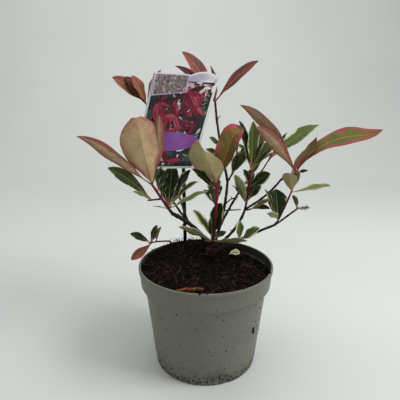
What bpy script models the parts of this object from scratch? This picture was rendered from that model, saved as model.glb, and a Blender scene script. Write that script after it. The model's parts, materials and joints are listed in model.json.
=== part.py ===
"""A potted photinia: a young variegated shrub of several stems in a round grower's pot.

Metres, +Z up. The origin is the middle of the pot's flat underside, and -Y is the side that
faces the viewer. Angles are in degrees: a heading turns from +X (0) to +Y (90), and a rise
is measured up from level. Limbs, twigs and the midribs of leaves all grow by one rule, grow().
"""

import math
import random
from collections import namedtuple

import bmesh
import bpy
from mathutils import Matrix, Vector

MM = 0.001
GAP = 0.3 * MM

# Pot
POT_HEIGHT = 129 * MM
RIM_RADIUS = 82.8 * MM
RIM_DEPTH = 4 * MM
RIM_WIDTH = 2.6 * MM
RIM_LIP = 0.9 * MM
COLLAR_DEPTH = 24 * MM
COLLAR_TAPER = 1.8 * MM
COLLAR_STEP = 4.2 * MM
STEP_CHAMFER = 1 * MM
WALL = 1.5 * MM
BASE_RADIUS = 63.5 * MM
BASE_CHAMFER = 1.2 * MM
FOOT_HEIGHT = 3.2 * MM
FOOT_WIDTH = 6 * MM
FLOOR_THICKNESS = 1.6 * MM
PAD_RADIUS = 14 * MM
NOTCH_COUNT = 8
NOTCH_WIDTH = 8 * MM
NOTCH_HEIGHT = 2.88 * MM
DRAIN_RADIUS = 4 * MM
DRAIN_CIRCLE = 42 * MM
DRAIN_SIDES = 12
INNER_RISE = 8 * MM
POT_SIDES = 48
POT_SHARP_ANGLE = 25

# Compost
COMPOST_LEVEL = 121 * MM
COMPOST_RINGS = 9
COMPOST_SIDES = 40
MOUND = (-20 * MM, 65 * MM, 45 * MM, 38 * MM, 9.5 * MM)
HOLLOW = (60 * MM, 45 * MM, 28 * MM, 35 * MM, -8 * MM)
FACET_ALLOWANCE = 0.2 * MM
GROUND_SAMPLES = 8
SHARP_ANGLE = 40

# Label and its stick
STICK_FOOT = (-28, 70)
STICK_LEAN = 16
STICK_LENGTH = 215 * MM
STICK_WIDTH = 4.6 * MM
STICK_DEPTH = 2.4 * MM
STICK_TAPER = 0.15
CARD_FACING = 16
CARD_TURN = 7
CARD_BOTTOM = 118.5 * MM
CARD_SHIFT = -25.5 * MM
CARD_WIDTH = 76.4 * MM
CARD_HEIGHT = 115 * MM
CARD_SKEW = 18 * MM
CARD_ARCH = 4.5 * MM
CARD_THICKNESS = 0.8 * MM
ARCH_STEPS = 6
ARCH_GAP = 3 * MM
CORNER_DROP = 1 * MM
CARD_CLEARANCE = 4 * MM
EDGE_CLEARANCE = 2 * MM
FLAP_INSET = 1 * MM
FLAP_WIDTH = 39.5 * MM
FLAP_LEFT = 23 * MM
FLAP_RIGHT = 18 * MM
FLAP_SHIFT = -4 * MM
FLAP_OPEN = 20

# Limbs and leaves
TUBE_SIDES = 6
LIMB_STEPS = 6
TWIG_STEPS = 4
TWIG_SHARE = 0.9
TWIG_TIP_SHARE = 0.7
LEAF_STEPS = 12
TRUNK_FLARE = 1.25
ARM_REACH = 5.5 * MM
TIP_SHARE = 0.97
PETIOLE = 0.12
PETIOLE_HALF = 0.8 * MM
LEAF_TIP_HALF = 0.4 * MM
LEAF_FOLD = 0.16
LEAF_PEAK = 1.2
LEAF_FULLNESS = 0.85
LEAF_THICKNESS = 1.0 * MM
LEAF_THICKNESS_SHARE = 0.012
LARGE_LEAF = 40 * MM
LARGE_STATIONS = (0, 0.12, 0.28, 0.46, 0.64, 0.82, 0.94, 1)
SMALL_STATIONS = (0, 0.12, 0.4, 0.68, 0.9, 1)
GOLDEN_ANGLE = 137.5
LEAF_CLEARANCE = 1.2 * MM
LEAF_SPACING = 5 * MM
ROOT_SPREAD = 0.7 * MM
ROOT_SHIFT = 0.15 * MM
FREE_PART = 0.3

# Dealt leaves go down the stem by a share of it, and their rise falls with them
DEALT_SPAN = 0.8
DEALT_RISE = 62
DEALT_FALL = 34
DEALT_RISE_PLAY = 6
DEALT_WIDTHS = (0.3, 0.36)
DEALT_BENDS = (5, 25)
DEALT_ROLL = 15

# A limb grows from its parent at a share of the parent's length, or from a foot in mm on the
# crown or the compost. Lengths and radii are in mm. Bend is how far the rise falls on the
# way, and turn is how far the heading turns.
Limb = namedtuple("Limb", "name parent at foot heading rise length bend turn thick thin")
LIMBS = (
    Limb("trunk", None, 0, (5, 36), 20, 78, 14, 0, 0, 4.2, 3.8),
    Limb("left_bough", "trunk", 0.86, (1.8, 35.8, 142.5), -165, 43, 64, 30, 0, 3.0, 2.5),
    Limb("upper_left_bough", "left_bough", 0.6, None, 149, 65, 147, -24, 60, 1.5, 1.1),
    Limb("centre_bough", "trunk", 1, (13.6, 38.6, 144), 28, 78, 81, -16, 20, 2.1, 1.7),
    Limb("right_bough", "trunk", 0.75, (14.5, 33, 138.2), 10, 52, 63, -42, 0, 2.1, 1.7),
    Limb("right_branch", "right_bough", 1, None, -24, 45, 58, -22, -10, 1.5, 1.3),
    Limb("low_right_bough", "trunk", 0.45, (13, 30, 132.8), -4, 26, 86, 0, -15, 2.0, 1.5),
    Limb("dead_twig_upper", "centre_bough", 0.6, None, -10, 26, 16, 50, 0, 1.0, 0.6),
    Limb("dead_twig_lower", "centre_bough", 0.51, None, -10, 6, 17, 0, 0, 0.9, 0.6),
    Limb("low_left_stem", None, 0, (-47, 61.5), -170, 55, 6, 70, 0, 1.3, 1.2),
    Limb("back_left_bough", "trunk", 0.9, (4.5, 42.5, 143.5), 150, 45, 112, -60, 30, 1.8, 1.4),
    Limb("back_right_bough", "trunk", 0.8, (12, 43.5, 142.5), 36, 52, 100, 10, -20, 1.8, 1.4),
    Limb("back_low_bough", "trunk", 0.55, (7, 44, 133.5), 75, 48, 50, 0, 0, 1.5, 1.2),
)

# A mass of leaves grows on one stem from its bough's tip or the trunk. Twigs are (at,
# heading, rise, length, bend). Leaves are (twig, at, heading, rise, length, width, bend,
# roll) with twig 0 for the stem itself. Dealt leaves follow a seeded rule on the side that
# the set leaves leave open: (count, seed, heading, spread, shortest, longest).
Mass = namedtuple("Mass", "name parent at foot heading rise length bend turn thick thin twigs leaves dealt reach")
MASSES = (
    Mass("front_shoot", "trunk", 0.94, (9, 30.5, 143.5), -70, 84, 80, -16, -70, 1.9, 1.7, (), (
        (0, 1, -125, 57, 72, 42, 5, 0),
        (0, 0.99, 25, 69.6, 82, 27, 10, 30),
        (0, 0.93, -170, 44, 42, 12, 10, -45),
        (0, 0.03, -150, 31, 57, 17, -10, 30),
        (0, 0.08, 165, 55, 46, 14, 10, -20),
        (0, 0.04, 114, 76, 30, 10, 5, 3),
        (0, 0.13, -8, 79, 47, 22, 5, 52),
        (0, 0.02, -42, 15.9, 57, 17, -20, -35),
        (0, 0.06, 20, 26, 21, 8, 10, 30),
        (0, 0.02, -170, 14, 12, 6, 0, 0),
    ), (2, 56, 100, 15, 36, 46), 115),
    Mass("left_shoot", "left_bough", 1, None, -155, 58, 41, 0, 0, 2.0, 1.5, (
        (0.45, 175, -8, 15, 0),
    ), (
        (0, 1, -120, 73.2, 86, 47, -10, 20),
        (0, 1, -58, 75.5, 89, 18, 0, -42),
        (0, 1, -165, 39, 105, 21, 0, 45),
        (1, 1, 180, 39, 67, 17, 20, -45),
        (1, 0.9, -160, 32, 26, 11, 10, 30),
        (0, 0.05, 125, 63, 62, 19, 5, 0),
        (0, 0.05, 75, 70, 58, 21, 5, 0),
        (0, 0.05, 20, 59, 56, 20, 5, 10),
        (0, 0.03, 20, 42, 53, 9, 35, 20),
        (0, 0, -15, 29, 57, 17, 0, -25),
        (0, 0, -175, 12, 20, 4, 0, 0),
    ), (3, 30, 60, 55, 28, 34), 130),
    Mass("low_left_shoot", "low_left_stem", 1, None, -170, -3, 20, 10, 0, 1.1, 0.9, (), (
        (0, 1, -175, 29, 31, 12, 10, -35),
        (0, 1, 20, 56, 26, 8, 0, 20),
        (0, 0.7, 20, 80, 13, 4, 0, 0),
        (0, 1, -150, -30, 37, 13, -10, -40),
    ), (2, 78, 110, 55, 22, 28), 60),
    Mass("top_shoot", "centre_bough", 1, None, 150, 78.5, 96, -14, 40, 1.7, 1.4, (), (
        (0, 1, -10, 44, 72, 17, 18, 45),
        (0, 1, 180, 57, 74, 20, 25, -50),
        (0, 1, 172, 43, 69, 15, 30, -30),
        (0, 1, -160, 82, 46, 14, 20, 0),
        (0, 0.76, 0, 55, 8, 4, 0, 0),
        (0, 0.4, 170, 44, 21, 9, 10, -30),
        (0, 0.24, 170, 33, 27, 12, 10, -30),
    ), (1, 32, 120, 15, 30, 38), 140),
    Mass("upper_left_shoot", "upper_left_bough", 1, None, 150, 70, 5, 0, 0, 1.1, 1.0, (), (
        (0, 1, -175, 41, 55, 22, 15, -40),
        (0, 0.85, 172, 55, 46, 20, 10, -27),
        (0, 1, -165, 65, 42, 20, 10, -42),
    ), (3, 53, 50, 29, 42, 52), 80),
    Mass("centre_shoot", "centre_bough", 1, None, 17, 72, 30, -40, 0, 1.2, 1.0, (), (
        (0, 0.05, 18, 56, 40, 19, 25, 30),
        (0, 1, -10, 45, 20, 9, 5, 20),
    ), (1, 78, 135, 25, 26, 36), 70),
    Mass("middle_right_shoot", "right_bough", 1, None, 0, 84, 47, -5, 0, 1.5, 1.3, (
        (0.35, 15, 57, 51, 0),
    ), (
        (0, 1, 122, 93, 61, 19, 0, 2),
        (0, 1, 170, 77, 64, 12, 5, -40),
        (0, 1, 20, 51, 50, 15, 5, 30),
        (0, 1, 0, 49, 36, 7, 5, 20),
        (0, 1, 108, 61, 33, 7, 5, -20),
        (0, 0.6, 170, 70, 21, 10, 5, -30),
        (0, 0.52, -3, 37, 33, 19, 5, 40),
        (0, 0.1, 54, 38, 37, 21, 5, 6),
        (0, 0, -125, 57, 54, 14, 5, 0),
        (0, 0, -150, 52, 36, 7, 5, 0),
        (1, 1, 10, 35, 79, 19, 15, 35),
        (1, 1, -60, 55, 15, 5, 0, 0),
        (1, 1, 30, 51, 43, 7, 0, 0),
    ), (3, 2, 55, 45, 34, 40), 130),
    Mass("fork_sprig", "right_bough", 0.97, None, -60, 20, 6, 0, 0, 0.9, 0.8, (), (
        (0, 1, -30, 32, 31, 10, 10, 30),
        (0, 1, -15, 8, 27, 8, 40, 30),
    ), (0, 25, -60, 30, 20, 30), 60),
    Mass("right_shoot", "right_branch", 1, None, -30, 27, 15, 0, 0, 1.5, 1.6, (), (
        (0, 1, -172, 50, 109, 18, 22, 40),
        (0, 1, -160, 47, 81, 17, 10, 40),
        (0, 1, -8, 24, 114, 25, 85, 40),
        (0, 1, 10, 13, 17, 6, 5, 20),
    ), (3, 37, 25, 15, 44, 50), 130),
    Mass("right_side_shoot", "low_right_bough", 1, None, -50, 66, 46.5, -10, 20, 1.2, 1.1, (), (
        (0, 1, -120, 59, 31, 19, 0, 0),
        (0, 1, -5, 13, 47, 15, 0, -40),
        (0, 0.05, 96, 67, 40, 26, 0, 2),
        (0, 0.1, -165, 37, 18, 17, 0, 30),
        (0, 0.05, 170, 67, 44, 9, 0, -20),
    ), (1, 30, -25, 55, 28, 38), 80),
    Mass("low_right_shoot", "low_right_bough", 1, None, -21, 43, 29, 0, 0, 1.2, 1.1, (), (
        (0, 1, -30, 15, 16, 8, 0, 30),
    ), (2, 61, 240, 15, 20, 26), 70),
    Mass("inner_right_sprig", "trunk", 0.3, (11, 26.5, 131), -12, 31, 39, 0, 0, 1.1, 0.9, (), (
        (0, 1, -15, 39, 31, 14, 0, 40),
        (0, 1, 100, 92, 27, 10, 0, 0),
    ), (0, 21, 90, 30, 20, 30), 60),
    Mass("back_left_shoot", "back_left_bough", 1, None, 140, 75, 26, 10, 0, 1.3, 1.0, (), (),
         (9, 74, 100, 60, 40, 50), 85),
    Mass("back_right_shoot", "back_right_bough", 1, None, 50, 62, 28, 10, 0, 1.3, 1.0, (), (),
         (9, 34, 60, 100, 38, 48), 85),
    Mass("back_low_shoot", "back_low_bough", 1, None, 95, 35, 22, 20, 0, 1.1, 0.9, (), (),
         (6, 73, 90, 40, 24, 36), 70),
)

# Each finish is a base colour and a roughness
FINISHES = {
    "pot_plastic": ((0.18, 0.18, 0.15), 0.55),
    "compost": ((0.03, 0.02, 0.015), 0.95),
    "black_plastic": ((0.02, 0.02, 0.02), 0.45),
    "printed_card": ((0.30, 0.12, 0.22), 0.35),
    "old_wood": ((0.10, 0.06, 0.045), 0.7),
    "red_wood": ((0.20, 0.05, 0.04), 0.7),
    "new_leaf": ((0.36, 0.22, 0.13), 0.45),
    "old_leaf": ((0.10, 0.17, 0.07), 0.45),
}
RED_LIMBS = ("right_branch", "low_left_stem")
NEW_MASSES = ("front_shoot", "left_shoot", "top_shoot", "upper_left_shoot", "right_shoot")


def clear_scene():
    for thing in list(bpy.data.objects):
        bpy.data.objects.remove(thing)


def material(name):
    colour, roughness = FINISHES[name]
    made = bpy.data.materials.get(name) or bpy.data.materials.new(name)
    made.use_nodes = True
    shader = made.node_tree.nodes["Principled BSDF"]
    shader.inputs["Base Color"].default_value = (*colour, 1)
    shader.inputs["Roughness"].default_value = roughness
    shader.inputs["Metallic"].default_value = 0
    return made


def add_object(name, mesh, finish=None):
    thing = bpy.data.objects.new(name, mesh)
    bpy.context.collection.objects.link(thing)
    if finish:
        mesh.materials.clear()
        mesh.materials.append(finish)
    return thing


def mesh_from(bm, name):
    bmesh.ops.recalc_face_normals(bm, faces=bm.faces)
    mesh = bpy.data.meshes.new(name)
    bm.to_mesh(mesh)
    bm.free()
    return mesh


def direction(heading, rise):
    turned = math.radians(heading)
    raised = math.radians(rise)
    level = math.cos(raised)
    return Vector((math.cos(turned) * level, math.sin(turned) * level, math.sin(raised)))


def grow(start, heading, rise, length, bend, turn, steps):
    """The route of a limb, twig or midrib, whose direction changes evenly on the way."""
    route = [Vector(start)]
    for step in range(steps):
        share = (step + 0.5) / steps - 0.5
        way = direction(heading + turn * share, rise - bend * share)
        route.append(route[-1] + way * (length / steps))
    return route


def point_at(route, share):
    place = min(max(share, 0), 1) * (len(route) - 1)
    index = min(int(place), len(route) - 2)
    return route[index].lerp(route[index + 1], place - index)


def bump(place, x, y):
    centre_x, centre_y, spread_x, spread_y, height = place
    across = (x - centre_x) / spread_x
    along = (y - centre_y) / spread_y
    return height * math.exp(-(across * across + along * along) / 2)


def compost_height(x, y):
    return COMPOST_LEVEL + bump(MOUND, x, y) + bump(HOLLOW, x, y)


def ground_under(x, y, radius):
    """The height at which a flat cut of this radius stands just clear of the compost."""
    around = [compost_height(x, y)]
    for index in range(GROUND_SAMPLES):
        angle = math.tau * index / GROUND_SAMPLES
        around.append(compost_height(x + radius * math.cos(angle), y + radius * math.sin(angle)))
    return max(around) + FACET_ALLOWANCE + GAP


def loft(bm, sections):
    """A closed solid: the first section's face is extruded through all the others."""
    face = bm.faces.new([bm.verts.new(point) for point in sections[0]])
    for index, section in enumerate(sections[1:]):
        grown = bmesh.ops.extrude_face_region(bm, geom=[face])["geom"]
        if index:
            bmesh.ops.delete(bm, geom=[face], context="FACES_ONLY")
        face = next(item for item in grown if isinstance(item, bmesh.types.BMFace))
        for vert, point in zip(face.verts, section):
            vert.co = point


def ring_sections(route, radii, first_axis=None, last_axis=None):
    """Rings of TUBE_SIDES points square to the route, turned as little as possible."""
    sections = []
    side = Vector((1, 0, 0))
    last = len(route) - 1
    for index, centre in enumerate(route):
        before = route[max(index - 1, 0)]
        after = route[min(index + 1, last)]
        axis = (after - before).normalized()
        if index == 0 and first_axis:
            axis = first_axis
        if index == last and last_axis:
            axis = last_axis
        side = side - axis * side.dot(axis)
        if side.length < 0.1:
            side = axis.orthogonal()
        side.normalize()
        other = axis.cross(side)
        ring = []
        for corner in range(TUBE_SIDES):
            angle = math.tau * corner / TUBE_SIDES
            ring.append(centre + (side * math.cos(angle) + other * math.sin(angle)) * radii[index])
        sections.append(ring)
    return sections


def tube_mesh(name, route, radii, first_axis=None, last_axis=None):
    bm = bmesh.new()
    loft(bm, ring_sections(route, radii, first_axis, last_axis))
    return mesh_from(bm, name)


def tapered(thick, thin, count):
    return [(thick + (thin - thick) * index / (count - 1)) * MM for index in range(count)]


def half_width(share, width):
    if share <= PETIOLE:
        return PETIOLE_HALF
    blade = (share - PETIOLE) / (1 - PETIOLE)
    if blade >= 1:
        return LEAF_TIP_HALF
    return max(width / 2 * math.sin(math.pi * blade ** LEAF_PEAK) ** LEAF_FULLNESS, LEAF_TIP_HALF)


def leaf_sections(base, heading, rise, length, width, bend, roll, stations):
    """Sections of a leaf, each (left edge, upper midrib, right edge, lower midrib)."""
    midrib = grow(base, heading, rise, length, bend, 0, LEAF_STEPS)
    level = direction(heading + 90, 0)
    thickness = max(LEAF_THICKNESS, LEAF_THICKNESS_SHARE * length)
    sections = []
    for share in stations:
        way = direction(heading, rise - bend * (share - 0.5))
        upper = way.cross(level)
        turned = math.radians(roll) * min(share / FREE_PART, 1)
        across = level * math.cos(turned) + upper * math.sin(turned)
        face = upper * math.cos(turned) - level * math.sin(turned)
        centre = point_at(midrib, share)
        half = half_width(share, width)
        lift = face * (half * LEAF_FOLD if share > PETIOLE else 0)
        depth = face * (thickness / 2 if share < 1 else LEAF_TIP_HALF)
        sections.append((centre + across * half + lift, centre + depth,
                         centre - across * half + lift, centre - depth))
    return sections


def stations_for(length):
    return LARGE_STATIONS if length > LARGE_LEAF else SMALL_STATIONS


def segment_distance(point, start, end):
    along = end - start
    share = min(max((point - start).dot(along) / along.length_squared, 0), 1)
    return (point - start - along * share).length


def route_distance(point, route):
    return min(segment_distance(point, start, end) for start, end in zip(route, route[1:]))


def start_of(item, routes):
    """Where a limb or mass starts, and the way that it starts in."""
    way = direction(item.heading - item.turn / 2, item.rise + item.bend / 2)
    if item.foot is None:
        return point_at(routes[item.parent], item.at) + way * ARM_REACH, way
    if item.parent is None:
        x, y = item.foot[0] * MM, item.foot[1] * MM
        reach = item.thick * MM * TRUNK_FLARE
        return Vector((x, y, ground_under(x, y, reach))), Vector((0, 0, 1))
    return Vector(item.foot) * MM, way


def plan_routes():
    """Every limb's route, and every mass's stem and twigs, by name."""
    routes = {}
    for limb in LIMBS:
        start, _ = start_of(limb, routes)
        routes[limb.name] = grow(start, limb.heading, limb.rise, limb.length * MM,
                                 limb.bend, limb.turn, LIMB_STEPS)
    stems = {}
    for mass in MASSES:
        start, _ = start_of(mass, routes)
        stem = grow(start, mass.heading, mass.rise, mass.length * MM, mass.bend, mass.turn, TWIG_STEPS)
        twigs = [stem]
        for at, heading, rise, length, bend in mass.twigs:
            twigs.append(grow(point_at(stem, at), heading, rise, length * MM, bend, 0, TWIG_STEPS))
        stems[mass.name] = twigs
    return routes, stems


def card_frame():
    """The label's lower middle, with its directions across, up and out of its face."""
    foot_x, foot_y = STICK_FOOT[0] * MM, STICK_FOOT[1] * MM
    foot = Vector((foot_x, foot_y, ground_under(foot_x, foot_y, STICK_WIDTH)))
    lean = Matrix.Rotation(math.radians(STICK_LEAN), 3, "X")
    along = lean @ Vector((0, 0, 1))
    level = lean @ direction(CARD_FACING, 0)
    out = lean @ direction(CARD_FACING - 90, 0)
    turn = math.radians(CARD_TURN)
    up = along * math.cos(turn) + level * math.sin(turn)
    across = level * math.cos(turn) - along * math.sin(turn)
    depth = STICK_DEPTH / 2 + GAP + CARD_THICKNESS / 2
    middle = foot + along * CARD_BOTTOM + level * CARD_SHIFT + out * depth
    return foot, along, middle, across, up, out


def touches_card(point):
    _, _, middle, across, up, out = card_frame()
    place = point - middle
    height = place.dot(up)
    aside = place.dot(across) - CARD_SKEW * height / CARD_HEIGHT
    return (abs(place.dot(out)) < CARD_CLEARANCE and abs(aside) < CARD_WIDTH / 2 + EDGE_CLEARANCE
            and -EDGE_CLEARANCE < height < CARD_HEIGHT + CARD_ARCH)


def touches_stick(point):
    foot, along, _, _, _, _ = card_frame()
    return segment_distance(point, foot, foot + along * STICK_LENGTH) < STICK_WIDTH


def free_points(sections, stations):
    points = []
    for section, share in zip(sections, stations):
        if share >= FREE_PART:
            points.extend((section[0], section[1], section[2]))
    return points


def leaf_fits(points, mass, stems, routes, taken):
    """A dealt leaf stays in its mass's space and clear of limbs, label and other masses."""
    middle = point_at(stems[mass.name][0], 0.5)
    for point in points:
        if (point - middle).length > mass.reach * MM:
            return False
        if point.xy.length < RIM_RADIUS + LEAF_CLEARANCE and point.z < POT_HEIGHT + LEAF_CLEARANCE:
            return False
        if touches_card(point) or touches_stick(point):
            return False
        for limb in LIMBS:
            if route_distance(point, routes[limb.name]) < limb.thick * MM + LEAF_CLEARANCE:
                return False
        for other in MASSES:
            if other.name == mass.name:
                continue
            for stem in stems[other.name]:
                if route_distance(point, stem) < other.thick * MM + LEAF_CLEARANCE:
                    return False
            for near in taken[other.name]:
                if (point - near).length < LEAF_SPACING:
                    return False
    return True


def dealt_leaf(mass, index, rng):
    """One leaf of the rule: golden-angle steps within the open side, out from the stem."""
    count, _, heading, spread, shortest, longest = mass.dealt
    step = (index * GOLDEN_ANGLE) % 360 / 180 - 1
    length = rng.uniform(shortest, longest)
    down = index / max(count, 1)
    rise = DEALT_RISE - DEALT_FALL * down + rng.uniform(-DEALT_RISE_PLAY, DEALT_RISE_PLAY)
    return (0, 1 - DEALT_SPAN * down, heading + step * spread, rise, length,
            length * rng.uniform(*DEALT_WIDTHS), rng.uniform(*DEALT_BENDS),
            rng.uniform(-DEALT_ROLL, DEALT_ROLL))


def root_point(twig, at, index):
    """Where a leaf's root sinks in: never at its twig's foot, nor on its neighbour's root."""
    length = (twig[1] - twig[0]).length * (len(twig) - 1)
    spread = ROOT_SPREAD * (index % 4)
    return point_at(twig, max(at * length - spread, 2 * ROOT_SPREAD + spread) / length)


def place_leaf(row, twigs, index):
    """A leaf's sections, and the points of its part that is free of the twig."""
    twig, at, heading, rise, length, width, bend, roll = row
    stations = stations_for(length * MM)
    side = direction(heading + GOLDEN_ANGLE, 0)
    base = root_point(twigs[twig], at, index) + side * ROOT_SHIFT
    sections = leaf_sections(base, heading, rise, length * MM, width * MM, bend, roll, stations)
    return sections, free_points(sections, stations)


def plan_leaves(routes, stems):
    """The set leaves of every mass first, then the dealt ones that fit between them."""
    placed = {mass.name: [] for mass in MASSES}
    taken = {mass.name: [] for mass in MASSES}
    for mass in MASSES:
        for index, row in enumerate(mass.leaves):
            sections, points = place_leaf(row, stems[mass.name], index)
            placed[mass.name].append(sections)
            taken[mass.name].extend(points)
    for mass in MASSES:
        rng = random.Random(mass.dealt[1])
        for index in range(mass.dealt[0]):
            sections, points = place_leaf(dealt_leaf(mass, index, rng), stems[mass.name], index)
            if leaf_fits(points, mass, stems, routes, taken):
                placed[mass.name].append(sections)
                taken[mass.name].extend(points)
    return placed


def arm_mesh(child, routes):
    """A short arm on the parent, whose flat end faces what starts there, a gap away."""
    start, way = start_of(child, routes)
    foot = point_at(routes[child.parent], min(child.at, TIP_SHARE))
    return tube_mesh(child.name + "_arm", [foot, start - way * GAP], [child.thick * MM] * 2, None, way)


def main_shell(mesh):
    """Keep the largest shell of a mesh: sealed hollows are filled and loose scraps dropped."""
    bm = bmesh.new()
    bm.from_mesh(mesh)
    waiting = set(bm.verts)
    shells = []
    while waiting:
        shell = set()
        edge = {next(iter(waiting))}
        while edge:
            shell |= edge
            edge = {link.other_vert(vert) for vert in edge for link in vert.link_edges} - shell
        waiting -= shell
        shells.append(shell)
    shells.sort(key=len)
    for shell in shells[:-1]:
        bmesh.ops.delete(bm, geom=list(shell), context="VERTS")
    bm.to_mesh(mesh)
    bm.free()


def join(name, meshes, finish):
    """One solid from overlapping ones, by a union of the first with a collection of the rest."""
    whole = add_object(name, meshes[0])
    if len(meshes) > 1:
        others = bpy.data.collections.new(name + "_parts")
        bpy.context.scene.collection.children.link(others)
        for mesh in meshes[1:]:
            others.objects.link(bpy.data.objects.new(mesh.name, mesh))
        union = whole.modifiers.new("union", "BOOLEAN")
        union.operation = "UNION"
        union.solver = "EXACT"
        union.operand_type = "COLLECTION"
        union.collection = others
        bpy.context.view_layer.update()
        solid = bpy.data.meshes.new_from_object(whole.evaluated_get(bpy.context.evaluated_depsgraph_get()))
        whole.modifiers.remove(union)
        whole.data = solid
        main_shell(solid)
        for thing in list(others.objects):
            bpy.data.objects.remove(thing)
        bpy.data.collections.remove(others)
    whole.data.name = name
    whole.data.materials.clear()
    whole.data.materials.append(finish)
    whole.data.shade_smooth()
    whole.data.set_sharp_from_angle(angle=math.radians(SHARP_ANGLE))
    return whole


def build_limbs(routes):
    """Each limb is one tapering solid, with an arm for each thing that grows from it."""
    for limb in LIMBS:
        route = routes[limb.name]
        radii = tapered(limb.thick, limb.thin, len(route))
        if limb.parent is None:
            radii[0] = radii[0] * TRUNK_FLARE
            radii[1] = radii[1] * (1 + TRUNK_FLARE) / 2
        _, way = start_of(limb, routes)
        meshes = [tube_mesh(limb.name + "_stem", route, radii, way)]
        meshes += [arm_mesh(child, routes) for child in LIMBS + MASSES if child.parent == limb.name]
        kind = "red_wood" if limb.name in RED_LIMBS else "old_wood"
        join(limb.name, meshes, material(kind))


def build_masses(routes, stems, placed):
    for mass in MASSES:
        _, way = start_of(mass, routes)
        stem = stems[mass.name][0]
        meshes = [tube_mesh(mass.name + "_stem", stem, tapered(mass.thick, mass.thin, len(stem)), way)]
        for index, twig in enumerate(stems[mass.name][1:]):
            radii = tapered(mass.thin * TWIG_SHARE, mass.thin * TWIG_TIP_SHARE, len(twig))
            meshes.append(tube_mesh(f"{mass.name}_twig_{index}", twig, radii))
        for index, sections in enumerate(placed[mass.name]):
            bm = bmesh.new()
            loft(bm, sections)
            meshes.append(mesh_from(bm, f"{mass.name}_leaf_{index}"))
        kind = "new_leaf" if mass.name in NEW_MASSES else "old_leaf"
        join(mass.name, meshes, material(kind))


def turned_mesh(name, profile, sides):
    """A solid turned about the Z axis from an open profile of (radius, height) points."""
    bm = bmesh.new()
    verts = [bm.verts.new((radius, 0, height)) for radius, height in profile]
    edges = [bm.edges.new(pair) for pair in zip(verts, verts[1:])]
    bmesh.ops.spin(bm, geom=verts + edges, cent=(0, 0, 0), axis=(0, 0, 1), angle=math.tau,
                   steps=sides, use_merge=True)
    bmesh.ops.remove_doubles(bm, verts=bm.verts, dist=0.01 * MM)
    return mesh_from(bm, name)


def inner_radius(height):
    """The pot's inner radius: the body's slope, then the collar's."""
    step_height = POT_HEIGHT - COLLAR_DEPTH
    collar_foot = RIM_RADIUS - RIM_LIP - COLLAR_TAPER
    body_top = collar_foot - COLLAR_STEP
    if height < step_height:
        return BASE_RADIUS - WALL + (body_top - BASE_RADIUS) * height / step_height
    share = min((height - step_height) / INNER_RISE, 1)
    return body_top - WALL + (RIM_RADIUS - RIM_WIDTH - body_top + WALL) * share


def cut_with(thing, cutters):
    """Cut the cutters out of a solid and remove them."""
    for cutter in cutters:
        cut = thing.modifiers.new("cut", "BOOLEAN")
        cut.operation = "DIFFERENCE"
        cut.solver = "EXACT"
        cut.object = cutter
    bpy.context.view_layer.update()
    solid = bpy.data.meshes.new_from_object(thing.evaluated_get(bpy.context.evaluated_depsgraph_get()))
    thing.modifiers.clear()
    thing.data = solid
    for cutter in cutters:
        bpy.data.objects.remove(cutter)


def foot_notch(angle):
    """A block that cuts one arch through the foot ring at this angle."""
    bm = bmesh.new()
    bmesh.ops.create_cube(bm, size=1)
    bmesh.ops.scale(bm, vec=(FOOT_WIDTH * 3, NOTCH_WIDTH, NOTCH_HEIGHT * 2), verts=bm.verts)
    bmesh.ops.translate(bm, vec=(BASE_RADIUS - FOOT_WIDTH / 2, 0, 0), verts=bm.verts)
    notch = add_object("notch", mesh_from(bm, "notch"))
    notch.rotation_euler = (0, 0, angle)
    return notch


def drain_hole(angle):
    bm = bmesh.new()
    bmesh.ops.create_cone(bm, cap_ends=True, segments=DRAIN_SIDES, radius1=DRAIN_RADIUS,
                          radius2=DRAIN_RADIUS, depth=4 * FLOOR_THICKNESS)
    middle = FOOT_HEIGHT + FLOOR_THICKNESS / 2
    bmesh.ops.translate(bm, vec=(DRAIN_CIRCLE, 0, middle), verts=bm.verts)
    hole = add_object("hole", mesh_from(bm, "hole"))
    hole.rotation_euler = (0, 0, angle)
    return hole


def build_pot():
    """A turned pot with a lip, a stepped collar, a foot ring and a flat middle pad."""
    step_height = POT_HEIGHT - COLLAR_DEPTH
    floor_top = FOOT_HEIGHT + FLOOR_THICKNESS
    collar_top = RIM_RADIUS - RIM_LIP
    collar_foot = collar_top - COLLAR_TAPER
    body_top = collar_foot - COLLAR_STEP
    profile = [
        (0, 0),
        (PAD_RADIUS, 0),
        (PAD_RADIUS + 1 * MM, FOOT_HEIGHT),
        (BASE_RADIUS - FOOT_WIDTH, FOOT_HEIGHT),
        (BASE_RADIUS - FOOT_WIDTH + 1 * MM, 0),
        (BASE_RADIUS - BASE_CHAMFER, 0),
        (BASE_RADIUS, BASE_CHAMFER),
        (body_top, step_height),
        (collar_foot - STEP_CHAMFER, step_height),
        (collar_foot, step_height + STEP_CHAMFER),
        (collar_top, POT_HEIGHT - RIM_DEPTH - RIM_LIP),
        (RIM_RADIUS, POT_HEIGHT - RIM_DEPTH),
        (RIM_RADIUS, POT_HEIGHT - RIM_LIP),
        (RIM_RADIUS - RIM_LIP, POT_HEIGHT),
        (RIM_RADIUS - RIM_WIDTH, POT_HEIGHT),
        (inner_radius(step_height + INNER_RISE), step_height + INNER_RISE),
        (inner_radius(step_height), step_height),
        (inner_radius(floor_top), floor_top),
        (0, floor_top),
    ]
    pot = add_object("pot", turned_mesh("pot", profile, POT_SIDES), material("pot_plastic"))
    step = math.tau / NOTCH_COUNT
    notches = [foot_notch(step * (index + 0.5)) for index in range(NOTCH_COUNT)]
    holes = [drain_hole(step * index) for index in range(NOTCH_COUNT)]
    cut_with(pot, notches + holes)
    pot.data.shade_smooth()
    pot.data.set_sharp_from_angle(angle=math.radians(POT_SHARP_ANGLE))


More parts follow.
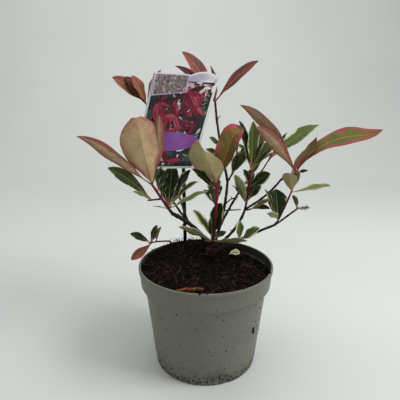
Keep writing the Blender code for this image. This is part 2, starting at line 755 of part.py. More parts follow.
def build_compost():
    """The root ball fills the pot, and its top rises to a mound at the back left."""
    foot = FOOT_HEIGHT + FLOOR_THICKNESS + GAP
    step_height = POT_HEIGHT - COLLAR_DEPTH
    reach = inner_radius(COMPOST_LEVEL) - 2 * GAP
    profile = [(0, foot), (inner_radius(foot) - 2 * GAP, foot),
               (inner_radius(step_height) - 2 * GAP, step_height)]
    rings = [reach * (COMPOST_RINGS - index) / COMPOST_RINGS for index in range(COMPOST_RINGS + 1)]
    profile.extend((radius, COMPOST_LEVEL) for radius in rings)
    mesh = turned_mesh("compost", profile, COMPOST_SIDES)
    for vert in mesh.vertices:
        if vert.co.z > step_height + GAP:
            vert.co.z = compost_height(vert.co.x, vert.co.y)
    mesh.shade_smooth()
    mesh.set_sharp_from_angle(angle=math.radians(SHARP_ANGLE))
    add_object("compost", mesh, material("compost"))


def build_stick():
    foot, along, _, _, _, out = card_frame()
    across = out.cross(along)
    depth = out * (STICK_DEPTH / 2)
    sections = []
    for share in (0, 1):
        centre = foot + along * (STICK_LENGTH * share)
        half = across * (STICK_WIDTH / 2 * (1 - STICK_TAPER * share))
        sections.append([centre - half - depth, centre + half - depth,
                         centre + half + depth, centre - half + depth])
    bm = bmesh.new()
    loft(bm, sections)
    add_object("label_stick", mesh_from(bm, "label_stick"), material("black_plastic"))


def card_outline():
    """The card's corners (across, up): a skewed card with a low arch at its top right."""
    half = CARD_WIDTH / 2
    right = CARD_SKEW + half
    arch_left = CARD_SKEW - half + FLAP_WIDTH + ARCH_GAP
    corners = [(-half, 0), (half, 0), (right, CARD_HEIGHT - CORNER_DROP)]
    for index in range(1, ARCH_STEPS):
        share = index / ARCH_STEPS
        rise = CARD_ARCH * math.sin(math.pi * share)
        corners.append((right + (arch_left - right) * share, CARD_HEIGHT + rise))
    corners += [(arch_left, CARD_HEIGHT), (CARD_SKEW - half, CARD_HEIGHT)]
    return corners


def plate(name, corners, out):
    bm = bmesh.new()
    half = out * (CARD_THICKNESS / 2)
    loft(bm, [[corner - half for corner in corners], [corner + half for corner in corners]])
    return mesh_from(bm, name)


def build_label():
    """A thin card on the stick, with its top left corner folded over towards the viewer."""
    _, _, middle, across, up, out = card_frame()
    corners = [middle + across * x + up * y for x, y in card_outline()]
    card = plate("card", corners, out)
    opened = math.radians(FLAP_OPEN)
    down = out * math.sin(opened) - up * math.cos(opened)
    fold = middle + up * (CARD_HEIGHT - CARD_THICKNESS)
    fold += across * (CARD_SKEW - CARD_WIDTH / 2 + FLAP_INSET)
    flap_corners = [fold, fold + across * FLAP_WIDTH]
    flap_corners += [flap_corners[1] + down * FLAP_RIGHT + across * FLAP_SHIFT,
                     flap_corners[0] + down * FLAP_LEFT + across * FLAP_SHIFT]
    flap = plate("flap", flap_corners, across.cross(down))
    join("plant_label", [card, flap], material("printed_card"))


def main():
    clear_scene()
    routes, stems = plan_routes()
    build_pot()
    build_compost()
    build_stick()
    build_label()
    build_limbs(routes)
    build_masses(routes, stems, plan_leaves(routes, stems))


main()
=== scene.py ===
"""Looks for a potted photinia: pot, compost, label, stems and leaves around the packed frame.

Metres, +Z up, -Y towards the viewer. Limbs, twigs and midribs grow by the same rule and the
same tables as the frame's solids, and are carried on here to petioles, ribs and buds.
"""

import json
import math
import random
from collections import namedtuple

import bmesh
import bpy
from bpy.props import FloatProperty, FloatVectorProperty, IntProperty, PointerProperty
from mathutils import Matrix, Vector, noise

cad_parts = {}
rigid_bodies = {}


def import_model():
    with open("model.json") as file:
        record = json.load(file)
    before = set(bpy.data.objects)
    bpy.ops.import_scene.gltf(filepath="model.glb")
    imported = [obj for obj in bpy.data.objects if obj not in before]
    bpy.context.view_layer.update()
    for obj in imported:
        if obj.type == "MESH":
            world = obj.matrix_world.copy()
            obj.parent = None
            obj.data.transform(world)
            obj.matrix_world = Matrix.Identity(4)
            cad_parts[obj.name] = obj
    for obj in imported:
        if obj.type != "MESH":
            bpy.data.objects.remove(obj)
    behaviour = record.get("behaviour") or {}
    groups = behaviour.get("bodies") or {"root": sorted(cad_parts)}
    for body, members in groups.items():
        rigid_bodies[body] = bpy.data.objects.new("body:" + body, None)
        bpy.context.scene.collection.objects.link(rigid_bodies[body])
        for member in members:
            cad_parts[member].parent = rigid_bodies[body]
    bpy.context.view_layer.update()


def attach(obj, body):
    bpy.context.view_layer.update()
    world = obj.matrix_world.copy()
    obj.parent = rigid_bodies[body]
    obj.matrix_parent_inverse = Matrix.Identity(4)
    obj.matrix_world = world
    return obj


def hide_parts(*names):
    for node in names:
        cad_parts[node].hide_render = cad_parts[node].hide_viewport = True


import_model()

bl_info = {
    "name": "Potted photinia",
    "version": (1, 0, 0),
    "blender": (4, 5, 0),
    "location": "View3D > Sidebar > Photinia",
    "description": "Builds a potted, variegated photinia around its frame",
    "category": "Add Mesh",
}

MM = 0.001
SMOOTH_ANGLE = math.radians(40)

# Growth rule, as in the solids
LIMB_STEPS = 6
TWIG_STEPS = 4
LEAF_STEPS = 12
TRUNK_FLARE = 1.25
ARM_REACH = 5.5 * MM
TIP_SHARE = 0.97
PETIOLE = 0.12
LEAF_FOLD = 0.16
GOLDEN_ANGLE = 137.5
LEAF_SPACING = 5 * MM
LEAF_CLEARANCE = 1.2 * MM
CARD_CLEARANCE = 4 * MM
EDGE_CLEARANCE = 2 * MM
ROOT_SPREAD = 0.7 * MM
ROOT_SHIFT = 0.15 * MM
FREE_PART = 0.3

# How dealt leaves run down their stem and spread, as in the solids
DEALT_SPAN = 0.8
DEALT_RISE = 62
DEALT_FALL = 34
DEALT_RISE_PLAY = 6
DEALT_WIDTHS = (0.3, 0.36)
DEALT_BENDS = (5, 25)
DEALT_ROLL = 15

# The solids' plainer leaves, by whose points the rule finds room
SOLID_LARGE_LEAF = 40 * MM
SOLID_STATIONS = {True: (0.46, 0.64, 0.82, 0.94, 1), False: (0.4, 0.68, 0.9, 1)}
SOLID_PEAK = 1.2
SOLID_FULLNESS = 0.85
SOLID_THICKNESS = 1.0 * MM
SOLID_THICKNESS_SHARE = 0.012
SOLID_TIP_HALF = 0.4 * MM

# Ground, as in the solids
MOUND = (-20 * MM, 65 * MM, 45 * MM, 38 * MM, 9.5 * MM)
HOLLOW = (60 * MM, 45 * MM, 28 * MM, 35 * MM, -8 * MM)
GAP = 0.3 * MM
FACET_ALLOWANCE = 0.2 * MM
GROUND_SAMPLES = 8

# Detail of the leaves, which the solids don't have
LARGE_LEAF = 50 * MM
YOUNG_BELOW = 0.55
BLADE_START = 0.05
PEAK_SHIFT = 1.1
HOOK_START = 0.75
BLADE_BASE_HALF = 0.6 * MM
BLADE_TIP_HALF = 0.15 * MM
GROOVE_DEPTH = 0.35 * MM
GROOVE_HALF = 0.6 * MM
RUFFLE_WAVES = 2.3
RUFFLE_OFFSET = 1.7
QUILT_DEPTH = 0.25 * MM
QUILT_ROWS = 7
QUILT_SLANT = 1.2
SHADE_PLAY = 0.08
LEAF_SHARP_ANGLE = 60

# Detail of the petioles, which run on as ribs under the blades
RIB_STEPS = 14
RIB_SIDES = 6
RIB_END = 0.9
RIB_SINK = 0.42 * MM
RIB_TAPER = 0.8
RIB_THICK = {True: 0.9 * MM, False: 0.65 * MM}
YOUNG_RIB_AGES = (0.3, 0.12)
RIPE_RIB_AGES = (0.2, 0.0)

# Detail of the stems: cells, swollen nodes, the trunk's burl and buds, with radii in mm
TUBE_SIDES = 10
STEM_CELL = 1.1
NODE_HALF = 0.9 * MM
NODE_SWELL = 0.22
FLARE_POWER = 2.5
SIDE_TWIG_SHARE = 0.85
SIDE_TIP_SHARE = 0.65
BURL_LEVELS = (-2, 0, 2.2)
BURL_RADII = (4.3, 4.7, 4.4, 3.7, 2.9, 2.0, 0.9)
BUD_STEP = 1.3 * MM
BUD_RADII = (0.9, 1.15, 1.0, 0.6, 0.15)

# A dead spur: limb, share of its length, heading, rise and length in mm
SPURS = (
    ("dead_twig_upper", 0.45, 200, 70, 4),
    ("dead_twig_upper", 0.6, 60, -60, 5),
    ("dead_twig_upper", 0.8, 20, -70, 4),
    ("dead_twig_lower", 0.15, 0, 60, 3),
    ("centre_bough", 0.98, 10, 50, 5),
    ("right_bough", 0.45, 180, 40, 4),
)

# How old bark is at a stem's foot and tip: red at 0.3, red brown at 0.55, old from 0.8
OLD_AGES = (0.8, 0.8)
DEAD_AGES = (0.95, 0.95)
BURL_AGES = (0.6, 0.6)
BUD_AGES = (0.3, 0.3)
LIMB_AGES = {
    "trunk": (0.5, 0.62),
    "right_branch": (0.72, 0.5),
    "low_left_stem": (0.55, 0.5),
    "dead_twig_upper": DEAD_AGES,
    "dead_twig_lower": DEAD_AGES,
}

# A limb grows from its parent at a share of the parent's length, or from a foot in mm.
Limb = namedtuple("Limb", "name parent at foot heading rise length bend turn thick thin")
LIMBS = (
    Limb("trunk", None, 0, (5, 36), 20, 78, 14, 0, 0, 4.2, 3.8),
    Limb("left_bough", "trunk", 0.86, (1.8, 35.8, 142.5), -165, 43, 64, 30, 0, 3.0, 2.5),
    Limb("upper_left_bough", "left_bough", 0.6, None, 149, 65, 147, -24, 60, 1.5, 1.1),
    Limb("centre_bough", "trunk", 1, (13.6, 38.6, 144), 28, 78, 81, -16, 20, 2.1, 1.7),
    Limb("right_bough", "trunk", 0.75, (14.5, 33, 138.2), 10, 52, 63, -42, 0, 2.1, 1.7),
    Limb("right_branch", "right_bough", 1, None, -24, 45, 58, -22, -10, 1.5, 1.3),
    Limb("low_right_bough", "trunk", 0.45, (13, 30, 132.8), -4, 26, 86, 0, -15, 2.0, 1.5),
    Limb("dead_twig_upper", "centre_bough", 0.6, None, -10, 26, 16, 50, 0, 1.0, 0.6),
    Limb("dead_twig_lower", "centre_bough", 0.51, None, -10, 6, 17, 0, 0, 0.9, 0.6),
    Limb("low_left_stem", None, 0, (-47, 61.5), -170, 55, 6, 70, 0, 1.3, 1.2),
    Limb("back_left_bough", "trunk", 0.9, (4.5, 42.5, 143.5), 150, 45, 112, -60, 30, 1.8, 1.4),
    Limb("back_right_bough", "trunk", 0.8, (12, 43.5, 142.5), 36, 52, 100, 10, -20, 1.8, 1.4),
    Limb("back_low_bough", "trunk", 0.55, (7, 44, 133.5), 75, 48, 50, 0, 0, 1.5, 1.2),
)

# A mass of leaves grows on one stem, whose bark has these ages at its foot and tip. Twigs are
# (at, heading, rise, length, bend), and leaves (twig, at, heading, rise, length, width, bend,
# roll, look). Dealt leaves follow a seeded rule, (count, seed, heading, spread, shortest,
# longest, looks), and stay within reach of the stem's middle. Lengths are in mm.
Mass = namedtuple("Mass", "name parent at foot heading rise length bend turn thick thin ages "
                          "twigs leaves dealt reach")
MASSES = (
    Mass("front_shoot", "trunk", 0.94, (9, 30.5, 143.5), -70, 84, 80, -16, -70, 1.9, 1.7, (0.62, 0.3), (), (
        (0, 1, -125, 57, 72, 42, 5, 0, "notched"),
        (0, 0.99, 25, 69.6, 82, 27, 10, 30, "quilted"),
        (0, 0.93, -170, 44, 42, 12, 10, -45, "dark"),
        (0, 0.03, -150, 31, 57, 17, -10, 30, "pale"),
        (0, 0.08, 165, 55, 46, 14, 10, -20, "marbled"),
        (0, 0.04, 114, 76, 30, 10, 5, 3, "edged"),
        (0, 0.13, -8, 79, 47, 22, 5, 52, "dark"),
        (0, 0.02, -42, 15.9, 57, 17, -20, -35, "pale"),
        (0, 0.06, 20, 26, 21, 8, 10, 30, "edged"),
        (0, 0.02, -170, 14, 12, 6, 0, 0, "dark"),
    ), (2, 56, 100, 15, 36, 46, "dark edged"), 115),
    Mass("left_shoot", "left_bough", 1, None, -155, 58, 41, 0, 0, 2.0, 1.5, (0.62, 0.3), (
        (0.45, 175, -8, 15, 0),
    ), (
        (0, 1, -120, 73.2, 86, 47, -10, 20, "beige"),
        (0, 1, -58, 75.5, 89, 18, 0, -42, "rosy"),
        (0, 1, -165, 39, 105, 21, 0, 45, "banded"),
        (1, 1, 180, 39, 67, 17, 20, -45, "slate"),
        (1, 0.9, -160, 32, 26, 11, 10, 30, "olive"),
        (0, 0.05, 125, 63, 62, 19, 5, 0, "edged"),
        (0, 0.05, 75, 70, 58, 21, 5, 0, "edged"),
        (0, 0.05, 20, 59, 56, 20, 5, 10, "edged"),
        (0, 0.03, 20, 42, 53, 9, 35, 20, "cream"),
        (0, 0, -15, 29, 57, 17, 0, -25, "pale"),
        (0, 0, -175, 12, 20, 4, 0, 0, "cream"),
    ), (3, 30, 60, 55, 28, 34, "edged dark"), 130),
    Mass("low_left_shoot", "low_left_stem", 1, None, -170, -3, 20, 10, 0, 1.1, 0.9, (0.5, 0.45), (), (
        (0, 1, -175, 29, 31, 12, 10, -35, "dark"),
        (0, 1, 20, 56, 26, 8, 0, 20, "olive"),
        (0, 0.7, 20, 80, 13, 4, 0, 0, "olive"),
        (0, 1, -150, -30, 37, 13, -10, -40, "rusty"),
    ), (2, 78, 110, 55, 22, 28, "dark olive"), 60),
    Mass("top_shoot", "centre_bough", 1, None, 150, 78.5, 96, -14, 40, 1.7, 1.4, (0.8, 0.5), (), (
        (0, 1, -10, 44, 72, 17, 18, 45, "bronze"),
        (0, 1, 180, 57, 74, 20, 25, -50, "bronze"),
        (0, 1, 172, 43, 69, 15, 30, -30, "bronze"),
        (0, 1, -160, 82, 46, 14, 20, 0, "crimson"),
        (0, 0.76, 0, 55, 8, 4, 0, 0, "green"),
        (0, 0.4, 170, 44, 21, 9, 10, -30, "green"),
        (0, 0.24, 170, 33, 27, 12, 10, -30, "green"),
    ), (1, 32, 120, 15, 30, 38, "bronze"), 140),
    Mass("upper_left_shoot", "upper_left_bough", 1, None, 150, 70, 5, 0, 0, 1.1, 1.0, (0.6, 0.4), (), (
        (0, 1, -175, 41, 55, 22, 15, -40, "tawny"),
        (0, 0.85, 172, 55, 46, 20, 10, -27, "brown"),
        (0, 1, -165, 65, 42, 20, 10, -42, "rusty"),
    ), (3, 53, 50, 29, 42, 52, "bronze rosy"), 80),
    Mass("centre_shoot", "centre_bough", 1, None, 17, 72, 30, -40, 0, 1.2, 1.0, (0.8, 0.6), (), (
        (0, 0.05, 18, 56, 40, 19, 25, 30, "green"),
        (0, 1, -10, 45, 20, 9, 5, 20, "dark"),
    ), (1, 78, 135, 25, 26, 36, "dark"), 70),
    Mass("middle_right_shoot", "right_bough", 1, None, 0, 84, 47, -5, 0, 1.5, 1.3, (0.7, 0.32), (
        (0.35, 15, 57, 51, 0),
    ), (
        (0, 1, 122, 93, 61, 19, 0, 2, "green"),
        (0, 1, 170, 77, 64, 12, 5, -40, "dark"),
        (0, 1, 20, 51, 50, 15, 5, 30, "green"),
        (0, 1, 0, 49, 36, 7, 5, 20, "dark"),
        (0, 1, 108, 61, 33, 7, 5, -20, "green"),
        (0, 0.6, 170, 70, 21, 10, 5, -30, "dark"),
        (0, 0.52, -3, 37, 33, 19, 5, 40, "dark"),
        (0, 0.1, 54, 38, 37, 21, 5, 6, "dark"),
        (0, 0, -125, 57, 54, 14, 5, 0, "marbled"),
        (0, 0, -150, 52, 36, 7, 5, 0, "edged"),
        (1, 1, 10, 35, 79, 19, 15, 35, "light"),
        (1, 1, -60, 55, 15, 5, 0, 0, "crimson"),
        (1, 1, 30, 51, 43, 7, 0, 0, "dark"),
    ), (3, 2, 55, 45, 34, 40, "dark green edged"), 130),
    Mass("fork_sprig", "right_bough", 0.97, None, -60, 20, 6, 0, 0, 0.9, 0.8, (0.7, 0.5), (), (
        (0, 1, -30, 32, 31, 10, 10, 30, "olive"),
        (0, 1, -15, 8, 27, 8, 40, 30, "dark"),
    ), (0, 25, -60, 30, 20, 30, "dark"), 60),
    Mass("right_shoot", "right_branch", 1, None, -30, 27, 15, 0, 0, 1.5, 1.6, (0.4, 0.3), (), (
        (0, 1, -172, 50, 109, 18, 22, 40, "copper"),
        (0, 1, -160, 47, 81, 17, 10, 40, "rosy"),
        (0, 1, -8, 24, 114, 25, 85, 40, "fresh"),
        (0, 1, 10, 13, 17, 6, 5, 20, "dark"),
    ), (3, 37, 25, 15, 44, 50, "fresh rosy"), 130),
    Mass("right_side_shoot", "low_right_bough", 1, None, -50, 66, 46.5, -10, 20, 1.2, 1.1,
         (0.7, 0.35), (), (
        (0, 1, -120, 59, 31, 19, 0, 0, "olive"),
        (0, 1, -5, 13, 47, 15, 0, -40, "pale"),
        (0, 0.05, 96, 67, 40, 26, 0, 2, "dark"),
        (0, 0.1, -165, 37, 18, 17, 0, 30, "pale"),
        (0, 0.05, 170, 67, 44, 9, 0, -20, "edged"),
    ), (1, 30, -25, 55, 28, 38, "dark"), 80),
    Mass("low_right_shoot", "low_right_bough", 1, None, -21, 43, 29, 0, 0, 1.2, 1.1, (0.65, 0.5), (), (
        (0, 1, -30, 15, 16, 8, 0, 30, "cream"),
    ), (2, 61, 240, 15, 20, 26, "dark edged"), 70),
    Mass("inner_right_sprig", "trunk", 0.3, (11, 26.5, 131), -12, 31, 39, 0, 0, 1.1, 0.9, (0.7, 0.5), (), (
        (0, 1, -15, 39, 31, 14, 0, 40, "marbled"),
        (0, 1, 100, 92, 27, 10, 0, 0, "pale"),
    ), (0, 21, 90, 30, 20, 30, "dark"), 60),
    Mass("back_left_shoot", "back_left_bough", 1, None, 140, 75, 26, 10, 0, 1.3, 1.0, (0.6, 0.4), (), (),
         (9, 74, 100, 60, 40, 50, "edged dark green fresh"), 85),
    Mass("back_right_shoot", "back_right_bough", 1, None, 50, 62, 28, 10, 0, 1.3, 1.0, (0.6, 0.4), (), (),
         (9, 34, 60, 100, 38, 48, "dark edged green"), 85),
    Mass("back_low_shoot", "back_low_bough", 1, None, 95, 35, 22, 20, 0, 1.1, 0.9, (0.7, 0.5), (), (),
         (6, 73, 90, 40, 24, 36, "edged dark"), 70),
)

# How ripe a leaf is runs from -1, bronze, by 0, olive, to 1, dark green. Blush turns the
# margin from cream to crimson, shade runs from dark to light, and rim is the margin's share of
# the half width. Peak and blunt shape the outline, ruffle waves its edge, and hook bends the
# tip down by this angle. Edges give a leaf an outline of its own: the half widths on its two
# sides, as shares of half the set width, from base to tip.
Look = namedtuple("Look", "ripe blush shade rim peak blunt ruffle hook edges", defaults=[None])
NOTCHED_EDGES = ((0.12, 0.90, 1.38, 1.56, 1.55, 1.45, 1.28, 1.08, 0.82, 0.45, 0.05),
                 (0.05, 0.24, 0.52, 0.76, 0.88, 0.82, 0.48, 0.12, 0.04, 0.02, 0.02))
BEIGE_EDGES = ((0.10, 0.42, 0.66, 0.86, 1.03, 1.17, 1.23, 1.14, 0.95, 0.66, 0.20),
               (0.07, 0.20, 0.34, 0.51, 0.64, 0.72, 0.74, 0.77, 0.79, 0.72, 0.30))
QUILTED_EDGES = ((0.10, 0.20, 0.36, 0.56, 0.76, 0.88, 0.95, 0.95, 0.90, 0.72, 0.20),
                 (0.10, 0.26, 0.50, 0.76, 0.95, 1.08, 1.16, 1.20, 1.18, 1.00, 0.30))
LOOKS = {
    "notched": Look(0.30, 0.60, 1.0, 0.08, 1.70, 0.70, 0.03, 10, NOTCHED_EDGES),
    "quilted": Look(-0.12, 1.0, 0.52, 0.20, 1.30, 0.80, 0.07, 70, QUILTED_EDGES),
    "beige": Look(0.0, 0.85, 0.90, 0.04, 1.60, 0.70, 0.03, 12, BEIGE_EDGES),
    "rosy": Look(-0.2, 1.0, 0.70, 0.40, 1.30, 0.85, 0.05, 15),
    "banded": Look(0.0, 1.0, 0.55, 0.38, 1.25, 0.85, 0.03, 20),
    "copper": Look(-0.15, 0.9, 0.50, 0.10, 1.25, 0.85, 0.05, 15),
    "fresh": Look(0.3, 1.0, 0.60, 0.20, 1.30, 0.85, 0.05, -45),
    "rusty": Look(-0.5, 1.0, 0.65, 0.40, 1.30, 0.85, 0.05, 10),
    "tawny": Look(-0.75, 0.9, 0.50, 0.08, 1.30, 0.80, 0.03, 15),
    "bronze": Look(-0.95, 1.0, 0.50, 0.08, 1.25, 0.85, 0.03, 10),
    "brown": Look(-1.0, 0.9, 0.10, 0.02, 1.25, 0.85, 0.03, 10),
    "crimson": Look(-1.0, 1.0, 0.60, 0.60, 1.20, 0.90, 0.03, 0),
    "olive": Look(0.3, 0.4, 0.50, 0.12, 1.40, 0.75, 0.04, 10),
    "green": Look(0.7, 0.0, 0.50, 0.06, 1.30, 0.80, 0.04, 15),
    "light": Look(0.55, 0.0, 0.55, 0.08, 1.20, 0.80, 0.04, 10),
    "dark": Look(1.0, 0.0, 0.40, 0.04, 1.30, 0.75, 0.05, 15),
    "slate": Look(0.9, 0.0, 0.80, 0.02, 1.40, 0.70, 0.03, 10),
    "edged": Look(1.0, 0.05, 0.45, 0.10, 1.30, 0.75, 0.07, 15),
    "marbled": Look(0.75, 0.0, 0.80, 0.28, 1.30, 0.75, 0.07, 15),
    "pale": Look(0.62, 0.0, 1.0, 0.24, 1.30, 0.75, 0.05, 15),
    "cream": Look(0.6, 0.05, 0.80, 0.50, 1.30, 0.75, 0.10, 20),
    "fallen": Look(0.6, 0.0, 0.60, 0.80, 1.30, 0.75, 0.10, 20),
}

# Pot, as in the solids
POT_HEIGHT = 129 * MM
RIM_RADIUS = 82.8 * MM
RIM_DEPTH = 4 * MM
RIM_WIDTH = 2.6 * MM
RIM_LIP = 0.9 * MM
COLLAR_DEPTH = 24 * MM
COLLAR_TAPER = 1.8 * MM
COLLAR_STEP = 4.2 * MM
STEP_CHAMFER = 1 * MM
WALL = 1.5 * MM
BASE_RADIUS = 63.5 * MM
BASE_CHAMFER = 1.2 * MM
FOOT_HEIGHT = 3.2 * MM
FOOT_WIDTH = 6 * MM
FLOOR_THICKNESS = 1.6 * MM
PAD_RADIUS = 14 * MM
NOTCH_COUNT = 8
NOTCH_WIDTH = 8 * MM
DRAIN_RADIUS = 4 * MM
DRAIN_CIRCLE = 42 * MM
NOTCH_HEIGHT = 2.88 * MM
POT_SHARP_ANGLE = 25
COMPOST_LEVEL = 121 * MM

# Detail of the pot, which the solids don't have. Crumbs are in mm, and lie thicker low down.
FOOT_SLOPE = 1 * MM
STEP_INSET = 0.4 * MM
STEP_DROP = 1.4 * MM
RIM_ROUND = 0.5 * MM
NOTCH_BEVEL = 1.92 * MM
DRAIN_SIDES = 20
MERGE_DISTANCE = 0.01 * MM
CRUMB_LOW = 4
CRUMB_SPREAD = 118
CRUMB_POWER = 2.2
CRUMB_SIZES = (0.3, 0.85)
CRUMB_LIFT = 0.3 * MM
RIM_CRUMB_RADIUS = RIM_RADIUS - 1.4 * MM
RIM_CRUMBS = ((-95, 2.2), (-90, 1.4), (-22, 1.6), (-60, 1.0), (150, 1.5), (80, 1.2))
FLECK_HEIGHT = 62 * MM
FLECK_HEADING = -38
FLECK_TURN = 52
FLECK_SIZE = (2.6, 1.4, 7)
DIRTY_LEVELS = (34 * MM, 2 * MM)
# The band of inner wall above the compost that is darkened as painted shade
INNER_SHADE_RADII = (RIM_RADIUS - 1.9 * MM, RIM_RADIUS - 2.4 * MM)
INNER_SHADE_LEVELS = (COMPOST_LEVEL - 3 * MM, COMPOST_LEVEL - 1 * MM)

# Detail of the compost and of what lies on it. A pair is the least and the most, in mm or
# degrees, and thickness is a radius.
COMPOST_RINGS = 46
COMPOST_SIDES = 150
CLOD_LIMIT = 2.5 * MM
CLOD_SIZES = (0.5, 1.9)
CLOD_LIFTS = (-0.4, 1.2)
CLOD_ROUGHNESS = 0.35
FIBRE_THICKNESS = (0.18, 0.45)
SPLINTER_THICKNESS = (0.6, 1.3)
FIBRE_LENGTHS = (4, 14)
FIBRE_LIFTS = (0.2, 1.5)
FIBRE_RISES = (-12, 35)
FIBRE_BENDS = (-50, 90)
FIBRE_TURNS = (-120, 120)
FIBRE_RADII = (1, 1, 0.9, 0.7, 0.4)
EDGE_FIBRES = 60
EDGE_INSET = 4 * MM
EDGE_FIBRE_ARC = (95, 165)
EDGE_FIBRE_RISES = (20, 80)
EDGE_FIBRE_LENGTHS = (5, 13)
EDGE_FIBRE_RADIUS = 0.3 * MM
ROOTLETS = 9
ROOTLET_PLACE = (6 * MM, 28 * MM)
ROOTLET_LIFT = 1.5
ROOTLET_LENGTHS = (7, 13)
ROOTLET_RADIUS = 0.4 * MM
CHIP_TAPER = 0.6
CHIP_ROUGHNESS = (0.9 * MM, 0.8 * MM)
FALLEN_PLACE = (31 * MM, 38 * MM)
FALLEN_LIFT = 3.4

# The litter's finishes, in order, and how often each kind of litter takes them
PEAT, RED_PEAT, PALE_FIBRE, ORANGE_BARK = range(4)
CLOD_KINDS = (PEAT, PEAT, PEAT, PEAT, RED_PEAT)
FIBRE_KINDS = (PEAT, PEAT, PEAT, PEAT, RED_PEAT, RED_PEAT, PALE_FIBRE)
SPLINTER_KINDS = (PEAT, PEAT, RED_PEAT)

# A chip of bark: place in mm, heading, size in mm and finish
CHIPS = (
    ((-22, -63, 124.6), 12, (21, 5.5, 2.2), ORANGE_BARK),
    ((-9, -60, 124.2), -8, (12, 4, 1.6), ORANGE_BARK),
    ((-34, -20, 124.6), 60, (12, 4, 2), RED_PEAT),
    ((32, -30, 123.8), 150, (10, 3.5, 1.8), RED_PEAT),
)

# Label, as in the solids
STICK_FOOT = (-28, 70)
STICK_LEAN = 16
STICK_LENGTH = 215 * MM
STICK_WIDTH = 4.6 * MM
STICK_DEPTH = 2.4 * MM
STICK_TAPER = 0.15
CARD_FACING = 16
CARD_TURN = 7
CARD_BOTTOM = 118.5 * MM
CARD_SHIFT = -25.5 * MM
CARD_WIDTH = 76.4 * MM
CARD_HEIGHT = 115 * MM
CARD_SKEW = 18 * MM
CARD_ARCH = 4.5 * MM
CARD_THICKNESS = 0.8 * MM
ARCH_STEPS = 6
ARCH_GAP = 3 * MM
CORNER_DROP = 1 * MM
FLAP_INSET = 1 * MM
FLAP_WIDTH = 39.5 * MM
FLAP_LEFT = 23 * MM
FLAP_RIGHT = 18 * MM
FLAP_SHIFT = -4 * MM
FLAP_OPEN = 20

# Detail of the fold and of the stick: its flutes are (width, depth) shares, and the barb's
# corners are mm along the stick and shares of its depth.
FOLD_RADIUS = 1.6 * MM
FOLD_STEPS = 6
STICK_FLUTES = ((0.5, 0.55), (0.17, 1.0))
STICK_STATIONS = (0, 0.02, 0.5, 0.98, 1)
STICK_END = 0.9
BARB_HEIGHT = 26 * MM
BARB_SIDE = STICK_WIDTH * 0.46
BARB_ROOT = ((-2.6, -0.5), (2.6, -0.5), (2.6, 0.5), (-2.6, 0.5))
BARB_TIP = ((0.2, -0.4), (2.4, -0.4), (2.4, 0.4), (0.2, 0.4))
BARB_REACH = 1.6 * MM

# Print on the card and on the back of its folded corner. Lengths of shapes are in mm, and
# their widths are shares of their lengths.
PICTURE_LEFT = -CARD_WIDTH / 2 + 2.4 * MM
PICTURE_RIGHT = CARD_WIDTH / 2 - 3 * MM
PRINT_LOW = 3 * MM
PICTURE_HIGH = CARD_HEIGHT - 7 * MM
PRINT_CLEARANCE = 0.02 * MM
PRINT_LAYER = 0.00005 * MM
SHAPE_LAYER = 0.0007 * MM
SHAPE_LIFT = 0.12 * MM
SHAPE_HALF_DEPTH = 0.06 * MM
SHAPE_CORNERS = 14
SHAPE_PINCH = 1.4
PANEL_DEPTH = 0.08 * MM
HEAD_MARGIN = 1.5 * MM
HEAD_STEPS = 8
HEAD_ARCH_WIDTH = CARD_WIDTH - FLAP_WIDTH - 4 * MM
BAND_ROUND = 46 * MM
BAND_MIDDLE = 36 * MM
BAND_HALF = 12.5 * MM
BAND_STEPS = 16
BAND_DEPTH = 1.1 * MM
SHAPE_WIDTHS = (0.26, 0.4)
GROUND_SHAPES = 320
GROUND_LENGTHS = (8, 15)
PALE_SHAPES = 60
PALE_SPREAD = 14 * MM
PALE_LENGTHS = (6, 12)
PALE_WIDTHS = (0.26, 0.5)
WHORL_PLAY = 16
WHORL_LENGTHS = (14, 23)
FLAP_PRINT_SIDES = (0.035, 0.965)
FLAP_PRINT_END = 0.85

# The print's finishes, in order, and the shades of each kind of shape: body, edge and midrib
GROUND, HEAD, BAND, CRIMSON, TEAL, CREAM, ROSE, GREEN, MAROON = range(9)
GROUND_SHADES = ((TEAL, GREEN, TEAL, GROUND, GROUND, CREAM, MAROON),
                 (TEAL, GREEN, GROUND, TEAL, GREEN), (CREAM, TEAL, GROUND))
PALE_SHADES = ((CREAM, CREAM, ROSE, CREAM, GREEN), (CREAM, ROSE), (CREAM, ROSE))
WHORL_SHADES = ((CRIMSON, CRIMSON, MAROON, ROSE), (CRIMSON, MAROON, ROSE, CRIMSON),
                (ROSE, MAROON, CRIMSON))

# A whorl of leaf shapes: its middle on the card in mm, its shapes and its turn
WHORLS = (
    (-26, 60, 7, 10),
    (24, 56, 7, 40),
    (-2, 68, 9, 0),
    (-24, 84, 8, 20),
    (21, 80, 9, 30),
    (4, 95, 8, 15),
    (-8, 48, 7, 5),
    (-2, 10, 4, 70),
)

# Stage, in metres; the width of the camera's sensor is in mm
COVE_HALF = 3
COVE_START = 0.9
COVE_RADIUS = 0.8
COVE_TOP = 3
COVE_STEPS = 12
CAMERA_PLACE = (-7.1 * MM, -461 * MM, 333 * MM)
SENSOR_WIDTH = 36
PLANT_MIDDLE = (0, 0.02, 0.18)
WALL_MIDDLE = (0, 1.6, 0.5)


# Growth

def direction(heading, rise):
    """A way of length one: heading is turned from +X about +Z, and rise is up from level."""
    turned = math.radians(heading)
    raised = math.radians(rise)
    level = math.cos(raised)
    return Vector((math.cos(turned) * level, math.sin(turned) * level, math.sin(raised)))


def grow(start, heading, rise, length, bend, turn, steps, hook=0):
    """The route of a limb, twig or midrib; a hook bends its last quarter further down."""
    route = [Vector(start)]
    for step in range(steps):
        share = (step + 0.5) / steps
        extra = hook * max(0, share - HOOK_START) / (1 - HOOK_START)
        way = direction(heading + turn * (share - 0.5), rise - bend * (share - 0.5) - extra)
        route.append(route[-1] + way * (length / steps))
    return route


